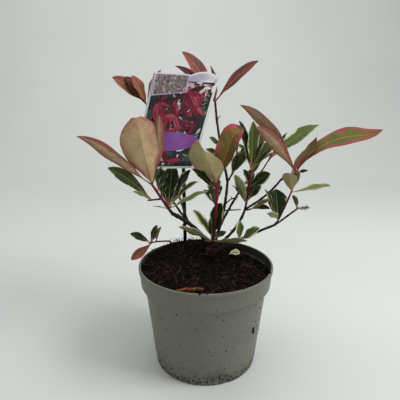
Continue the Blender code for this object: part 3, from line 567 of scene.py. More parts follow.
def point_at(route, share):
    """The point at a share of a route."""
    place = min(max(share, 0), 1) * (len(route) - 1)
    index = min(int(place), len(route) - 2)
    return route[index].lerp(route[index + 1], place - index)


def bump_at(place, x, y):
    """The height of a smooth mound or hollow of the compost here."""
    centre_x, centre_y, spread_x, spread_y, height = place
    across = (x - centre_x) / spread_x
    along = (y - centre_y) / spread_y
    return height * math.exp(-(across * across + along * along) / 2)


def compost_height(x, y):
    return COMPOST_LEVEL + bump_at(MOUND, x, y) + bump_at(HOLLOW, x, y)


def ground_under(x, y, radius):
    """The lowest level at which a foot of this radius stands clear of the compost."""
    around = [compost_height(x, y)]
    for index in range(GROUND_SAMPLES):
        angle = math.tau * index / GROUND_SAMPLES
        around.append(compost_height(x + radius * math.cos(angle), y + radius * math.sin(angle)))
    return max(around) + FACET_ALLOWANCE + GAP


def start_of(item, routes):
    """Where a limb or mass starts."""
    way = direction(item.heading - item.turn / 2, item.rise + item.bend / 2)
    if item.foot is None:
        return point_at(routes[item.parent], item.at) + way * ARM_REACH
    if item.parent is None:
        x, y = item.foot[0] * MM, item.foot[1] * MM
        return Vector((x, y, ground_under(x, y, item.thick * MM * TRUNK_FLARE)))
    return Vector(item.foot) * MM


def plan_routes():
    """Every limb's route, and every mass's stem and twigs, by name."""
    routes = {}
    for limb in LIMBS:
        routes[limb.name] = grow(start_of(limb, routes), limb.heading, limb.rise, limb.length * MM,
                                 limb.bend, limb.turn, LIMB_STEPS)
    stems = {}
    for mass in MASSES:
        stem = grow(start_of(mass, routes), mass.heading, mass.rise, mass.length * MM,
                    mass.bend, mass.turn, TWIG_STEPS)
        stems[mass.name] = [stem]
        for at, heading, rise, length, bend in mass.twigs:
            twig = grow(point_at(stem, at), heading, rise, length * MM, bend, 0, TWIG_STEPS)
            stems[mass.name].append(twig)
    return routes, stems


# Leaves

Leaf = namedtuple("Leaf", "base heading rise length width bend roll look")


def smooth_share(value, low, high):
    """From 0 to 1 as a value goes from low to high, with soft ends."""
    share = min(max((value - low) / (high - low), 0), 1)
    return share * share * (3 - 2 * share)


def root_point(twig, at, index):
    """Where a leaf leaves its twig: neighbours in the rows stand a little apart."""
    length = (twig[1] - twig[0]).length * (len(twig) - 1)
    spread = ROOT_SPREAD * (index % 4)
    return point_at(twig, max(at * length - spread, 2 * ROOT_SPREAD + spread) / length)


def place_leaf(row, twigs, index):
    """A leaf of a row, with its place on its twig and its look."""
    twig, at, heading, rise, length, width, bend, roll, look = row
    base = root_point(twigs[twig], at, index) + direction(heading + GOLDEN_ANGLE, 0) * ROOT_SHIFT
    return Leaf(base, heading, rise, length * MM, width * MM, bend, roll, LOOKS[look])


def dealt_leaf(mass, index, rng):
    """One leaf of the rule: golden-angle steps within the open side, out from the stem."""
    count, _, heading, spread, shortest, longest, looks = mass.dealt
    step = (index * GOLDEN_ANGLE) % 360 / 180 - 1
    length = rng.uniform(shortest, longest)
    down = index / count
    rise = DEALT_RISE - DEALT_FALL * down + rng.uniform(-DEALT_RISE_PLAY, DEALT_RISE_PLAY)
    width = length * rng.uniform(*DEALT_WIDTHS)
    bend = rng.uniform(*DEALT_BENDS)
    roll = rng.uniform(-DEALT_ROLL, DEALT_ROLL)
    names = looks.split()
    return (0, 1 - DEALT_SPAN * down, heading + step * spread, rise, length, width, bend, roll,
            names[index % len(names)])


def leaf_frame(leaf, share, hook=0):
    """The leaf's way, its direction across and its upper normal at a share of its length."""
    hooked = hook * max(0, share - HOOK_START) / (1 - HOOK_START)
    way = direction(leaf.heading, leaf.rise - leaf.bend * (share - 0.5) - hooked)
    level = direction(leaf.heading + 90, 0)
    upper = way.cross(level)
    turned = math.radians(leaf.roll) * min(share / FREE_PART, 1)
    across = level * math.cos(turned) + upper * math.sin(turned)
    face = upper * math.cos(turned) - level * math.sin(turned)
    return way, across, face


def outline(leaf, share, side):
    """Half the blade's width at a share of the blade's length, on the side of this sign."""
    share = min(max(share, 0), 1)
    if leaf.look.edges:
        edge = leaf.look.edges[side > 0]
        place = share * (len(edge) - 1)
        index = min(int(place), len(edge) - 2)
        return leaf.width / 2 * (edge[index] + (edge[index + 1] - edge[index]) * (place - index))
    wide = leaf.width / 2 * math.sin(math.pi * share ** (leaf.look.peak * PEAK_SHIFT)) ** leaf.look.blunt
    return max(wide, BLADE_TIP_HALF + (BLADE_BASE_HALF - BLADE_TIP_HALF) * (1 - share))


def blade_point(leaf, midrib, share, side, phase):
    """A point of the blade: share runs from its base to its tip, and side from -1 to 1."""
    look = leaf.look
    place = BLADE_START + (1 - BLADE_START) * share
    _, across, face = leaf_frame(leaf, place, look.hook)
    half = outline(leaf, share, side)
    reach = abs(side)
    lift = half * LEAF_FOLD * reach
    groove = GROOVE_DEPTH * math.exp(-(reach * half / GROOVE_HALF) ** 2)
    wave = math.sin(math.tau * (RUFFLE_WAVES * share + phase) + (RUFFLE_OFFSET if side > 0 else 0))
    ripple = leaf.width * look.ruffle * reach ** 2 * wave * math.sin(math.pi * share)
    row = math.sin(math.tau * (QUILT_ROWS * share - QUILT_SLANT * reach))
    quilt = QUILT_DEPTH * row * math.sin(math.pi * reach)
    centre = point_at(midrib, place)
    return centre + across * (half * side) + face * (lift - groove + ripple + quilt * look.blush)


def free_points(leaf):
    """The points of a leaf's solid that are free of its twig, by which the rule places it."""
    midrib = grow(leaf.base, leaf.heading, leaf.rise, leaf.length, leaf.bend, 0, LEAF_STEPS)
    thickness = max(SOLID_THICKNESS, SOLID_THICKNESS_SHARE * leaf.length)
    points = []
    for share in SOLID_STATIONS[leaf.length > SOLID_LARGE_LEAF]:
        _, across, face = leaf_frame(leaf, share)
        blade = (share - PETIOLE) / (1 - PETIOLE)
        half = SOLID_TIP_HALF
        if share < 1:
            wide = leaf.width / 2 * math.sin(math.pi * blade ** SOLID_PEAK) ** SOLID_FULLNESS
            half = max(wide, SOLID_TIP_HALF)
        centre = point_at(midrib, share)
        lift = face * (half * LEAF_FOLD)
        depth = face * (thickness / 2 if share < 1 else SOLID_TIP_HALF)
        points += [centre + across * half + lift, centre + depth, centre - across * half + lift]
    return points


def segment_distance(point, start, end):
    """How far a point lies from a straight line between two others."""
    along = end - start
    share = min(max((point - start).dot(along) / along.length_squared, 0), 1)
    return (point - start - along * share).length


def route_distance(point, route):
    """How far a point is from the nearest part of a stem's route."""
    return min(segment_distance(point, start, end) for start, end in zip(route, route[1:]))


def leaf_fits(points, mass, stems, routes, taken):
    """A dealt leaf stays in its mass's space and clear of limbs, label and other masses."""
    middle = point_at(stems[mass.name][0], 0.5)
    for point in points:
        if (point - middle).length > mass.reach * MM:
            return False
        if point.xy.length < RIM_RADIUS + LEAF_CLEARANCE and point.z < POT_HEIGHT + LEAF_CLEARANCE:
            return False
        if touches_card(point) or touches_stick(point):
            return False
        for limb in LIMBS:
            if route_distance(point, routes[limb.name]) < limb.thick * MM + LEAF_CLEARANCE:
                return False
        for other in MASSES:
            if other.name == mass.name:
                continue
            for stem in stems[other.name]:
                if route_distance(point, stem) < other.thick * MM + LEAF_CLEARANCE:
                    return False
            for near in taken[other.name]:
                if (point - near).length < LEAF_SPACING:
                    return False
    return True


def plan_leaves(routes, stems):
    """The set leaves of every mass first, then the dealt ones that fit between them."""
    placed = {mass.name: [] for mass in MASSES}
    taken = {mass.name: [] for mass in MASSES}
    for mass in MASSES:
        for index, row in enumerate(mass.leaves):
            leaf = place_leaf(row, stems[mass.name], index)
            placed[mass.name].append(leaf)
            taken[mass.name].extend(free_points(leaf))
    for mass in MASSES:
        rng = random.Random(mass.dealt[1])
        for index in range(mass.dealt[0]):
            leaf = place_leaf(dealt_leaf(mass, index, rng), stems[mass.name], index)
            points = free_points(leaf)
            if leaf_fits(points, mass, stems, routes, taken):
                placed[mass.name].append(leaf)
                taken[mass.name].extend(points)
    return placed


def midrib_of(leaf):
    """A leaf's midrib, with the hook at its tip that the solids don't have."""
    return grow(leaf.base, leaf.heading, leaf.rise, leaf.length, leaf.bend, 0, LEAF_STEPS, leaf.look.hook)


# Label

def card_frame():
    """The stick's foot and way, and the card's lower middle with its ways across, up and out."""
    foot_x, foot_y = STICK_FOOT[0] * MM, STICK_FOOT[1] * MM
    foot = Vector((foot_x, foot_y, ground_under(foot_x, foot_y, STICK_WIDTH)))
    lean = Matrix.Rotation(math.radians(STICK_LEAN), 3, "X")
    along = lean @ Vector((0, 0, 1))
    level = lean @ direction(CARD_FACING, 0)
    out = lean @ direction(CARD_FACING - 90, 0)
    turn = math.radians(CARD_TURN)
    up = along * math.cos(turn) + level * math.sin(turn)
    across = level * math.cos(turn) - along * math.sin(turn)
    depth = STICK_DEPTH / 2 + GAP + CARD_THICKNESS / 2
    middle = foot + along * CARD_BOTTOM + level * CARD_SHIFT + out * depth
    return foot, along, middle, across, up, out


def touches_card(point):
    """Whether a point lies in the card, or too close to it for a leaf."""
    _, _, middle, across, up, out = card_frame()
    place = point - middle
    height = place.dot(up)
    aside = place.dot(across) - CARD_SKEW * height / CARD_HEIGHT
    return (abs(place.dot(out)) < CARD_CLEARANCE and abs(aside) < CARD_WIDTH / 2 + EDGE_CLEARANCE
            and -EDGE_CLEARANCE < height < CARD_HEIGHT + CARD_ARCH)


def touches_stick(point):
    """Whether a point lies too close to the stick for a leaf."""
    foot, along, _, _, _, _ = card_frame()
    return segment_distance(point, foot, foot + along * STICK_LENGTH) < STICK_WIDTH


def card_outline():
    """The card's corners (across, up): a skewed card with a low arch at its top right."""
    half = CARD_WIDTH / 2
    right = CARD_SKEW + half
    arch_left = CARD_SKEW - half + FLAP_WIDTH + ARCH_GAP
    corners = [(-half, 0), (half, 0), (right, CARD_HEIGHT - CORNER_DROP)]
    for index in range(1, ARCH_STEPS):
        share = index / ARCH_STEPS
        rise = CARD_ARCH * math.sin(math.pi * share)
        corners.append((right + (arch_left - right) * share, CARD_HEIGHT + rise))
    corners += [(arch_left, CARD_HEIGHT), (CARD_SKEW - half, CARD_HEIGHT)]
    return corners


# Mesh helpers

def stamp(whole, part):
    """Add a small bmesh to a piece: an operator on the piece slows down as the piece grows."""
    mesh = bpy.data.meshes.new("part")
    part.to_mesh(mesh)
    part.free()
    whole.from_mesh(mesh)
    bpy.data.meshes.remove(mesh)


def loft(whole, sections, material=0, ages=None):
    """A closed solid: the first section's face is extruded through all the others."""
    bm = bmesh.new()
    age = bm.verts.layers.float.new("age") if ages else None
    face = bm.faces.new([bm.verts.new(point) for point in sections[0]])
    for index, section in enumerate(sections):
        if index:
            grown = bmesh.ops.extrude_face_region(bm, geom=[face])["geom"]
            if index > 1:
                bmesh.ops.delete(bm, geom=[face], context="FACES_ONLY")
            face = next(item for item in grown if isinstance(item, bmesh.types.BMFace))
        for vert, point in zip(face.verts, section):
            vert.co = point
            if ages:
                vert[age] = ages[index]
    for part in bm.faces:
        part.material_index = material
    bmesh.ops.recalc_face_normals(bm, faces=bm.faces)
    stamp(whole, bm)


def rings(route, radii, sides):
    """Rings of points square to the route, turned as little as possible."""
    sections = []
    side = Vector((1, 0, 0))
    last = len(route) - 1
    for index, centre in enumerate(route):
        axis = (route[min(index + 1, last)] - route[max(index - 1, 0)]).normalized()
        side = side - axis * side.dot(axis)
        if side.length < 0.1:
            side = axis.orthogonal()
        side.normalize()
        other = axis.cross(side)
        ring = []
        for corner in range(sides):
            angle = math.tau * corner / sides
            ring.append(centre + (side * math.cos(angle) + other * math.sin(angle)) * radii[index])
        sections.append(ring)
    return sections


def keep_piece(bm, name, materials, nodes, smooth=True):
    """A finished piece: it rides on the frame's one body and stands for these CAD nodes."""
    mesh = bpy.data.meshes.new(name)
    bm.to_mesh(mesh)
    bm.free()
    piece = bpy.data.objects.new(name, mesh)
    bpy.context.scene.collection.objects.link(piece)
    for made in materials:
        mesh.materials.append(made)
    if smooth:
        mesh.shade_smooth()
        mesh.set_sharp_from_angle(angle=SMOOTH_ANGLE)
    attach(piece, "root")
    if nodes:
        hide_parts(*nodes)
    return piece


def apply_modifiers(piece):
    """Keep what a piece's modifiers made of its mesh."""
    bpy.context.view_layer.update()
    shown = piece.evaluated_get(bpy.context.evaluated_depsgraph_get())
    mesh = bpy.data.meshes.new_from_object(shown)
    piece.modifiers.clear()
    piece.data = mesh


# Materials

class Finish:
    """One material, whose nodes are added by short calls."""

    def __init__(self, name, roughness, specular=0.5):
        self.material = bpy.data.materials.new(name)
        self.material.use_nodes = True
        self.tree = self.material.node_tree
        self.shader = self.tree.nodes["Principled BSDF"]
        self.shader.inputs["Roughness"].default_value = roughness
        self.shader.inputs["Specular IOR Level"].default_value = specular
        self.place = self.tree.nodes.new("ShaderNodeTexCoord").outputs["Object"]

    def put(self, kind, inputs, **settings):
        """A node of this kind, whose inputs are values or other nodes' sockets."""
        node = self.tree.nodes.new("ShaderNode" + kind)
        for key, value in settings.items():
            setattr(node, key, value)
        for key, value in inputs.items():
            if isinstance(value, bpy.types.NodeSocket):
                self.tree.links.new(value, node.inputs[key])
            else:
                node.inputs[key].default_value = value
        return node

    def noise(self, scale, detail=3.0, stretch=None):
        """Noise with this many waves to the metre."""
        place = self.place
        if stretch:
            place = self.put("Mapping", {"Vector": place, "Scale": stretch}).outputs["Vector"]
        return self.put("TexNoise", {"Vector": place, "Scale": scale, "Detail": detail}).outputs["Fac"]

    def maths(self, operation, *values):
        return self.put("Math", dict(enumerate(values)), operation=operation).outputs[0]

    def times(self, one, other):
        return self.maths("MULTIPLY", one, other)

    def line(self, value, factor, offset):
        """The value times a factor, plus an offset."""
        return self.maths("MULTIPLY_ADD", value, factor, offset)

    def smooth(self, value, low, high):
        """From 0 to 1 as a value goes from low to high, with soft ends."""
        inputs = {"Value": value, "From Min": low, "From Max": high}
        return self.put("MapRange", inputs, interpolation_type="SMOOTHSTEP").outputs["Result"]

    def ramp(self, value, stops):
        """A colour ramp with stops of (place, colour)."""
        node = self.put("ValToRGB", {"Fac": value})
        points = node.color_ramp.elements
        while len(points) < len(stops):
            points.new(0.5)
        for point, (place, colour) in zip(points, stops):
            point.position = place
            point.color = (*colour, 1)
        return node.outputs["Color"]

    def mix(self, share, low, high, blend="MIX"):
        """A mix of two colours, each a value or a socket."""
        low = low if isinstance(low, bpy.types.NodeSocket) else (*low, 1)
        high = high if isinstance(high, bpy.types.NodeSocket) else (*high, 1)
        inputs = {0: share, 6: low, 7: high}
        return self.put("Mix", inputs, data_type="RGBA", blend_type=blend).outputs[2]

    def attribute(self, name, output="Fac"):
        return self.put("Attribute", {}, attribute_name=name).outputs[output]

    def colour(self, value):
        if isinstance(value, bpy.types.NodeSocket):
            self.tree.links.new(value, self.shader.inputs["Base Color"])
        else:
            self.shader.inputs["Base Color"].default_value = (*value, 1)
        return self

    def bump(self, height, strength, distance):
        node = self.put("Bump", {"Height": height, "Strength": strength, "Distance": distance})
        self.tree.links.new(node.outputs["Normal"], self.shader.inputs["Normal"])
        return self

    def rough(self, value):
        self.tree.links.new(value, self.shader.inputs["Roughness"])
        return self


def tinted(colour, factor):
    """A colour made darker or lighter."""
    return [part * factor for part in colour]


def leaf_finish(name, settings, upper):
    """One face of the leaves: centre, marbled patches, ragged margin, midrib and veins, with painted light
    that makes one half of each blade lighter.
    """
    leaf = Finish(name, 0.42, 0.15) if upper else Finish(name, 0.6, 0.1)
    uv = leaf.put("UVMap", {}, uv_map="leaf").outputs["UV"]
    along, across, _ = leaf.put("SeparateXYZ", {"Vector": uv}).outputs
    ripe, blush, shade = leaf.put("SeparateXYZ", {"Vector": leaf.attribute("tone", "Vector")}).outputs
    rim = leaf.attribute("rim")
    side = leaf.maths("ABSOLUTE", leaf.line(across, 2.0, -1.0))
    ripeness = leaf.line(ripe, 0.5, 0.5)
    if upper:
        centre = leaf.ramp(ripeness, [(0, settings.bronze), (0.5, settings.olive),
                                      (0.8, settings.green), (1, settings.dark)])
    else:
        centre = leaf.ramp(ripeness, [(0, settings.bronze_under), (0.5, settings.olive_under),
                                      (0.8, settings.green_under), (1, settings.dark_under)])
    patch = leaf.smooth(leaf.maths("ADD", leaf.noise(160, 3), leaf.times(side, 0.3)), 0.62, 0.72)
    patch = leaf.times(patch, leaf.times(ripeness, rim))
    centre = leaf.mix(leaf.times(patch, 2.2), centre, settings.marble)
    redness = leaf.maths("MAXIMUM", leaf.smooth(leaf.noise(55, 3), 0.5, 0.75),
                         leaf.smooth(along, 0.6, 1.05))
    redness = leaf.times(redness, blush)
    centre = leaf.mix(leaf.times(redness, 0.6 if upper else 0.8), centre,
                      settings.flush if upper else settings.flush_under)
    specks = leaf.times(leaf.smooth(leaf.noise(520, 2), 0.70, 0.74), blush)
    centre = leaf.mix(leaf.times(specks, 0.45), centre, settings.bronze)
    margin = leaf.mix(blush, settings.cream, settings.crimson)
    if not upper:
        margin = leaf.mix(0.35, margin, settings.flush_under)
    blotch = leaf.noise(75, 4)
    tip = leaf.times(leaf.smooth(along, 0.65, 1.0), leaf.line(blush, 0.12, 0.15))
    wobble = leaf.times(leaf.line(blotch, 1.9, -0.95), side)
    edge = leaf.maths("ADD", leaf.maths("ADD", side, tip), wobble)
    start = leaf.maths("SUBTRACT", 1.0, rim)
    softness = leaf.line(blush, 0.2, 0.05)
    body = leaf.mix(leaf.smooth(edge, leaf.maths("SUBTRACT", start, softness),
                                leaf.maths("ADD", start, softness)), centre, margin)
    rib = leaf.mix(blush, settings.pale_rib, settings.red_rib) if upper else settings.under_rib
    body = leaf.mix(leaf.line(leaf.smooth(side, 0.015, 0.06), -0.35, 0.35), body, rib)
    rows = leaf.maths("SINE", leaf.line(along, 28.0, leaf.times(side, -5.0)))
    vein = leaf.smooth(leaf.maths("ABSOLUTE", rows), 0.0, 0.35)
    value = leaf.line(vein, -0.10, 1.10 if upper else 1.0)
    # The value takes the leaf's own shade, blotches and fine noise, and, in the last factor, painted light
    # that lightens one half of each blade as if that side of its fold faced the lamp.
    for light in (leaf.line(shade, 1.0, 0.5), leaf.line(blotch, 0.7, 0.65),
                  leaf.line(leaf.noise(420, 3), 0.4, 0.8),
                  leaf.line(leaf.smooth(across, 0.46, 0.54), 0.2, 0.9)):
        value = leaf.times(value, light)
    grey = leaf.put("CombineColor", {0: value, 1: value, 2: value}).outputs[0]
    leaf.colour(leaf.mix(1.0, body, grey, "MULTIPLY"))
    height = leaf.maths("ADD", vein, leaf.noise(700, 2))
    return leaf.bump(height, 0.35, 0.3 * MM).material


def stem_finish(settings):
    """Stems, petioles and ribs: age runs from pale green by crimson to dark old bark."""
    bark = Finish("stem_bark", 0.55, 0.25)
    ripeness = bark.attribute("age")
    age = bark.maths("ADD", ripeness, bark.line(bark.noise(350, 4), 0.16, -0.08))
    skin = bark.ramp(age, [(0, settings.shoot_green), (0.12, settings.shoot_pale),
                           (0.3, settings.shoot_red), (0.55, settings.red_brown),
                           (0.8, settings.old_brown)])
    grain = bark.noise(900, 4, (1, 1, 0.25))
    ridged = bark.mix(bark.smooth(grain, 0.55, 0.75), skin, settings.bark_light)
    bark.colour(bark.mix(bark.smooth(ripeness, 0.45, 0.8), skin, ridged))
    return bark.bump(grain, 0.5, 0.25 * MM).material


def plastic_finish(settings):
    """Matt recycled plastic, flecked with compost that thickens towards the foot, and darkened with painted
    shade on the inner wall above the compost.
    """
    pot = Finish("pot_plastic", 0.5)
    height = pot.put("SeparateXYZ", {"Vector": pot.place}).outputs["Z"]
    low = pot.smooth(height, *DIRTY_LEVELS)
    body = pot.mix(pot.smooth(pot.noise(14, 3), 0.3, 0.75), settings.plastic_dark, settings.plastic)
    body = pot.mix(pot.smooth(pot.noise(900, 2), 0.4, 0.8), body, settings.plastic_light)
    dust = pot.times(pot.smooth(pot.noise(45, 5), 0.45, 0.7), low)
    body = pot.mix(pot.times(dust, 0.55), body, settings.dirt_and_inner_shade)
    fleck = pot.noise(420, 2)
    loose = pot.smooth(fleck, 0.715, 0.74)
    caked = pot.smooth(pot.line(low, 0.2, fleck), 0.72, 0.76)
    dirty = pot.maths("MAXIMUM", loose, caked)
    flat = pot.put("VectorMath", {0: pot.place, 1: (1, 1, 0)}, operation="MULTIPLY").outputs[0]
    radius = pot.put("VectorMath", {0: flat}, operation="LENGTH").outputs["Value"]
    # Painted shade: the inner wall between the rim and the compost is darkened towards the dirt colour,
    # where shade falls inside the pot.
    inside = pot.times(pot.smooth(radius, *INNER_SHADE_RADII), pot.smooth(height, *INNER_SHADE_LEVELS))
    body = pot.mix(pot.times(inside, 0.85), body, settings.dirt_and_inner_shade)
    pot.colour(pot.mix(pot.times(dirty, 0.92), body, settings.dirt_and_inner_shade))
    pot.rough(pot.line(dirty, 0.4, 0.5))
    relief = pot.maths("ADD", dirty, pot.times(pot.noise(1500, 2), 0.15))
    return pot.bump(relief, 0.5, 0.3 * MM).material


def soil_finish(name, colour, dark):
    """Crumbly soil or bark of two colours."""
    soil = Finish(name, 0.95, 0.1)
    soil.colour(soil.mix(soil.smooth(soil.noise(260, 5), 0.35, 0.7), dark, colour))
    return soil.bump(soil.noise(700, 5), 0.8, 0.6 * MM).material


def card_finish(name, colour, second):
    """Smooth printed card, with a second colour in faint clouds."""
    card = Finish(name, 0.3, 0.2)
    card.colour(card.mix(card.smooth(card.noise(60, 3), 0.35, 0.65), colour, second))
    return card.bump(card.noise(900, 2), 0.08, 0.1 * MM).material


# Settings

def colour_property(name, text, value):
    """A setting that holds a colour."""
    return FloatVectorProperty(name=name, description=text, subtype="COLOR", size=3, default=value,
                               min=0, max=1)


class PhotiniaPotSettings(bpy.types.PropertyGroup):
    """The grower's pot."""
    sides: IntProperty(name="Sides", description="Sides of the turned pot", default=112, min=24, max=256)
    plastic: colour_property("Plastic", "Grey-green of the plastic", (0.152, 0.153, 0.116))
    plastic_dark: colour_property("Darker plastic", "Cloudier parts of the plastic", (0.128, 0.129, 0.097))
    plastic_light: colour_property("Lighter plastic", "Light grain of the plastic", (0.180, 0.180, 0.142))
    # This colour also paints the shade on the inner wall above the compost.
    dirt_and_inner_shade: colour_property("Dirt", "Flecks of compost", (0.022, 0.016, 0.011))
    crumbs: IntProperty(name="Crumbs", description="Crumbs that stick to the pot", default=330, min=0)


class PhotiniaCompostSettings(bpy.types.PropertyGroup):
    """The compost and what lies in it."""
    roughness: FloatProperty(name="Relief", description="Height of the clods", default=2.2 * MM,
                             unit="LENGTH", min=0)
    crumbs: IntProperty(name="Crumbs", description="Clods and crumbs on the surface", default=1500, min=0)
    fibres: IntProperty(name="Fibres", description="Peat fibres on the surface", default=800, min=0)
    splinters: IntProperty(name="Splinters", description="Splinters of bark on the surface",
                           default=420, min=0)
    peat: colour_property("Peat", "Dark peat", (0.007, 0.005, 0.004))
    red_peat: colour_property("Red peat", "Reddish fibres", (0.066, 0.023, 0.019))
    pale_fibre: colour_property("Pale fibre", "Dry pale fibres", (0.150, 0.110, 0.080))
    chip: colour_property("Bark chip", "Orange-brown bark chip", (0.220, 0.085, 0.028))


class PhotiniaLabelSettings(bpy.types.PropertyGroup):
    """The label and its stick."""
    card: colour_property("Card", "White card", (0.95, 0.95, 0.96))
    ground: colour_property("Ground", "Dark ground of the print", (0.022, 0.018, 0.024))
    purple: colour_property("Band", "Plain purple band", (0.250, 0.085, 0.340))
    lavender: colour_property("Head", "Lavender head of the card", (0.540, 0.460, 0.620))
    crimson: colour_property("Crimson", "Crimson leaf shapes", (0.360, 0.030, 0.070))
    teal: colour_property("Teal", "Teal leaf shapes", (0.060, 0.150, 0.140))
    stick: colour_property("Stick", "Black stick", (0.005, 0.005, 0.005))


class PhotiniaStemSettings(bpy.types.PropertyGroup):
    """Stems and their bark."""
    relief: FloatProperty(name="Relief", description="Depth of the bark's relief as a share of the radius",
                          default=0.12, min=0, max=0.5)
    node_spacing: FloatProperty(name="Node spacing", description="Distance between the rings of old leaves",
                                default=9 * MM, unit="LENGTH", min=2 * MM)
    shoot_green: colour_property("Green shoot", "Ribs of ripe leaves", (0.170, 0.210, 0.075))
    shoot_pale: colour_property("Pale shoot", "Ribs of young leaves", (0.520, 0.310, 0.170))
    shoot_red: colour_property("Red shoot", "Crimson young stems", (0.250, 0.008, 0.026))
    red_brown: colour_property("Red brown", "Ripening stems", (0.060, 0.010, 0.012))
    old_brown: colour_property("Old bark", "Dark old bark", (0.017, 0.010, 0.008))
    bark_light: colour_property("Light bark", "Lighter ridges of old bark", (0.045, 0.028, 0.022))


class PhotiniaLeafSettings(bpy.types.PropertyGroup):
    """The leaves' sizes and colours."""
    thickness: FloatProperty(name="Thickness", description="Thickness of a leaf", default=0.45 * MM,
                             unit="LENGTH", min=0.1 * MM)
    rows: IntProperty(name="Rows", description="Cells along a large leaf", default=36, min=6, max=80)
    columns: IntProperty(name="Columns", description="Cells across a large leaf", default=14, min=4, max=40)
    bronze: colour_property("Bronze", "Centre of a bronze leaf", (0.150, 0.042, 0.032))
    olive: colour_property("Olive", "Centre of a young leaf", (0.150, 0.125, 0.022))
    green: colour_property("Green", "Centre of a green leaf", (0.078, 0.108, 0.024))
    dark: colour_property("Dark green", "Centre of a ripe leaf", (0.012, 0.024, 0.005))
    bronze_under: colour_property("Bronze under", "Underside of a bronze leaf", (0.150, 0.060, 0.045))
    olive_under: colour_property("Olive under", "Underside of a young leaf", (0.540, 0.395, 0.220))
    green_under: colour_property("Green under", "Underside of a green leaf", (0.290, 0.330, 0.130))
    dark_under: colour_property("Ripe under", "Underside of a ripe leaf", (0.110, 0.140, 0.055))
    marble: colour_property("Marbling", "Grey-green patches", (0.110, 0.150, 0.080))
    cream: colour_property("Cream", "Margin of a ripe leaf", (0.520, 0.520, 0.290))
    crimson: colour_property("Crimson", "Margin of a young leaf", (0.310, 0.052, 0.062))
    pale_rib: colour_property("Pale rib", "Midrib of a ripe leaf", (0.180, 0.220, 0.090))
    red_rib: colour_property("Red rib", "Midrib of a young leaf", (0.330, 0.150, 0.080))
    under_rib: colour_property("Rib under", "Midrib of the underside", (0.400, 0.300, 0.150))
    flush: colour_property("Flush", "Reddish flush of a young leaf", (0.240, 0.070, 0.040))
    flush_under: colour_property("Flush under", "Pink flush of a young underside", (0.500, 0.230, 0.170))


class PhotiniaStageSettings(bpy.types.PropertyGroup):
    """Cove, light and camera."""
    floor: colour_property("Floor", "Pale floor", (0.68, 0.70, 0.68))
    sky: colour_property("Background", "Pale background", (0.380, 0.390, 0.385))
    key_power: FloatProperty(name="Key light", description="Power of the key light", default=12.0,
                             unit="POWER", min=0)
    wall_power: FloatProperty(name="Wall light", description="Power of the light on the wall", default=12.0,
                              unit="POWER", min=0)
    fill_power: FloatProperty(name="Fill light", description="Power of the fill light", default=0.8,
                              unit="POWER", min=0)
    lens: FloatProperty(name="Lens", description="Focal length in mm", default=36.0, min=1)
    pitch: FloatProperty(name="Pitch", description="How far the camera looks down", subtype="ANGLE",
                         default=math.radians(15))


SETTINGS = {
    "photinia_pot": PhotiniaPotSettings,
    "photinia_compost": PhotiniaCompostSettings,
    "photinia_label": PhotiniaLabelSettings,
    "photinia_stems": PhotiniaStemSettings,
    "photinia_leaves": PhotiniaLeafSettings,
    "photinia_stage": PhotiniaStageSettings,
}


# Pieces

def spun(bm, profile, sides):
    """Turn an open profile of (radius, height) points about the Z axis."""
    verts = [bm.verts.new((radius, 0, height)) for radius, height in profile]
    edges = [bm.edges.new(pair) for pair in zip(verts, verts[1:])]
    bmesh.ops.spin(bm, geom=verts + edges, cent=(0, 0, 0), axis=(0, 0, 1), angle=math.tau,
                   steps=sides, use_merge=True)
    bmesh.ops.remove_doubles(bm, verts=bm.verts, dist=MERGE_DISTANCE)
    bmesh.ops.recalc_face_normals(bm, faces=bm.faces)


def arc(centre, radius, first, last, steps):
    """Profile points (radius, height) on an arc, from one angle in degrees to another."""
    points = []
    for index in range(steps + 1):
        angle = math.radians(first + (last - first) * index / steps)
        points.append((centre[0] + radius * math.cos(angle), centre[1] + radius * math.sin(angle)))
    return points


def pot_profile():
    """From the middle of the underside out, up over the rolled rim and down inside."""
    step_height = POT_HEIGHT - COLLAR_DEPTH
    floor_top = FOOT_HEIGHT + FLOOR_THICKNESS
    collar_top = RIM_RADIUS - RIM_LIP
    collar_foot = collar_top - COLLAR_TAPER
    body_top = collar_foot - COLLAR_STEP
    lip = RIM_LIP
    profile = [(0, 0), (PAD_RADIUS, 0), (PAD_RADIUS + FOOT_SLOPE, FOOT_HEIGHT)]
    profile += [(BASE_RADIUS - FOOT_WIDTH, FOOT_HEIGHT), (BASE_RADIUS - FOOT_WIDTH + FOOT_SLOPE, 0)]
    profile += arc((BASE_RADIUS - BASE_CHAMFER, BASE_CHAMFER), BASE_CHAMFER, -90, 0, 4)
    profile += [(body_top - STEP_INSET, step_height - STEP_DROP), (body_top, step_height)]
    profile += arc((collar_foot - STEP_CHAMFER, step_height + STEP_CHAMFER), STEP_CHAMFER, -90, 0, 4)
    profile += [(collar_top, POT_HEIGHT - RIM_DEPTH - lip)]
    profile += arc((RIM_RADIUS - lip, POT_HEIGHT - RIM_DEPTH), lip, -30, 0, 2)
    profile += arc((RIM_RADIUS - lip, POT_HEIGHT - lip), lip, 0, 90, 4)
    profile += arc((RIM_RADIUS - RIM_WIDTH + RIM_ROUND, POT_HEIGHT - RIM_ROUND), RIM_ROUND, 90, 180, 3)
    for height in (step_height + COLLAR_DEPTH / 3, step_height, floor_top):
        profile.append((inner_radius(height), height))
    profile.append((0, floor_top))
    return profile


def cut_with(piece, cutters):
    """Cut shapes out of a piece, then delete them."""
    for shape in cutters:
        cut = piece.modifiers.new("cut", "BOOLEAN")
        cut.operation = "DIFFERENCE"
        cut.solver = "EXACT"
        cut.object = shape
    apply_modifiers(piece)
    for shape in cutters:
        bpy.data.objects.remove(shape)


def cutter(bm, angle):
    """An object that cuts a notch or hole, turned about the pot's axis."""
    mesh = bpy.data.meshes.new("cutter")
    bm.to_mesh(mesh)
    bm.free()
    made = bpy.data.objects.new("cutter", mesh)
    bpy.context.scene.collection.objects.link(made)
    made.rotation_euler = (0, 0, angle)
    return made


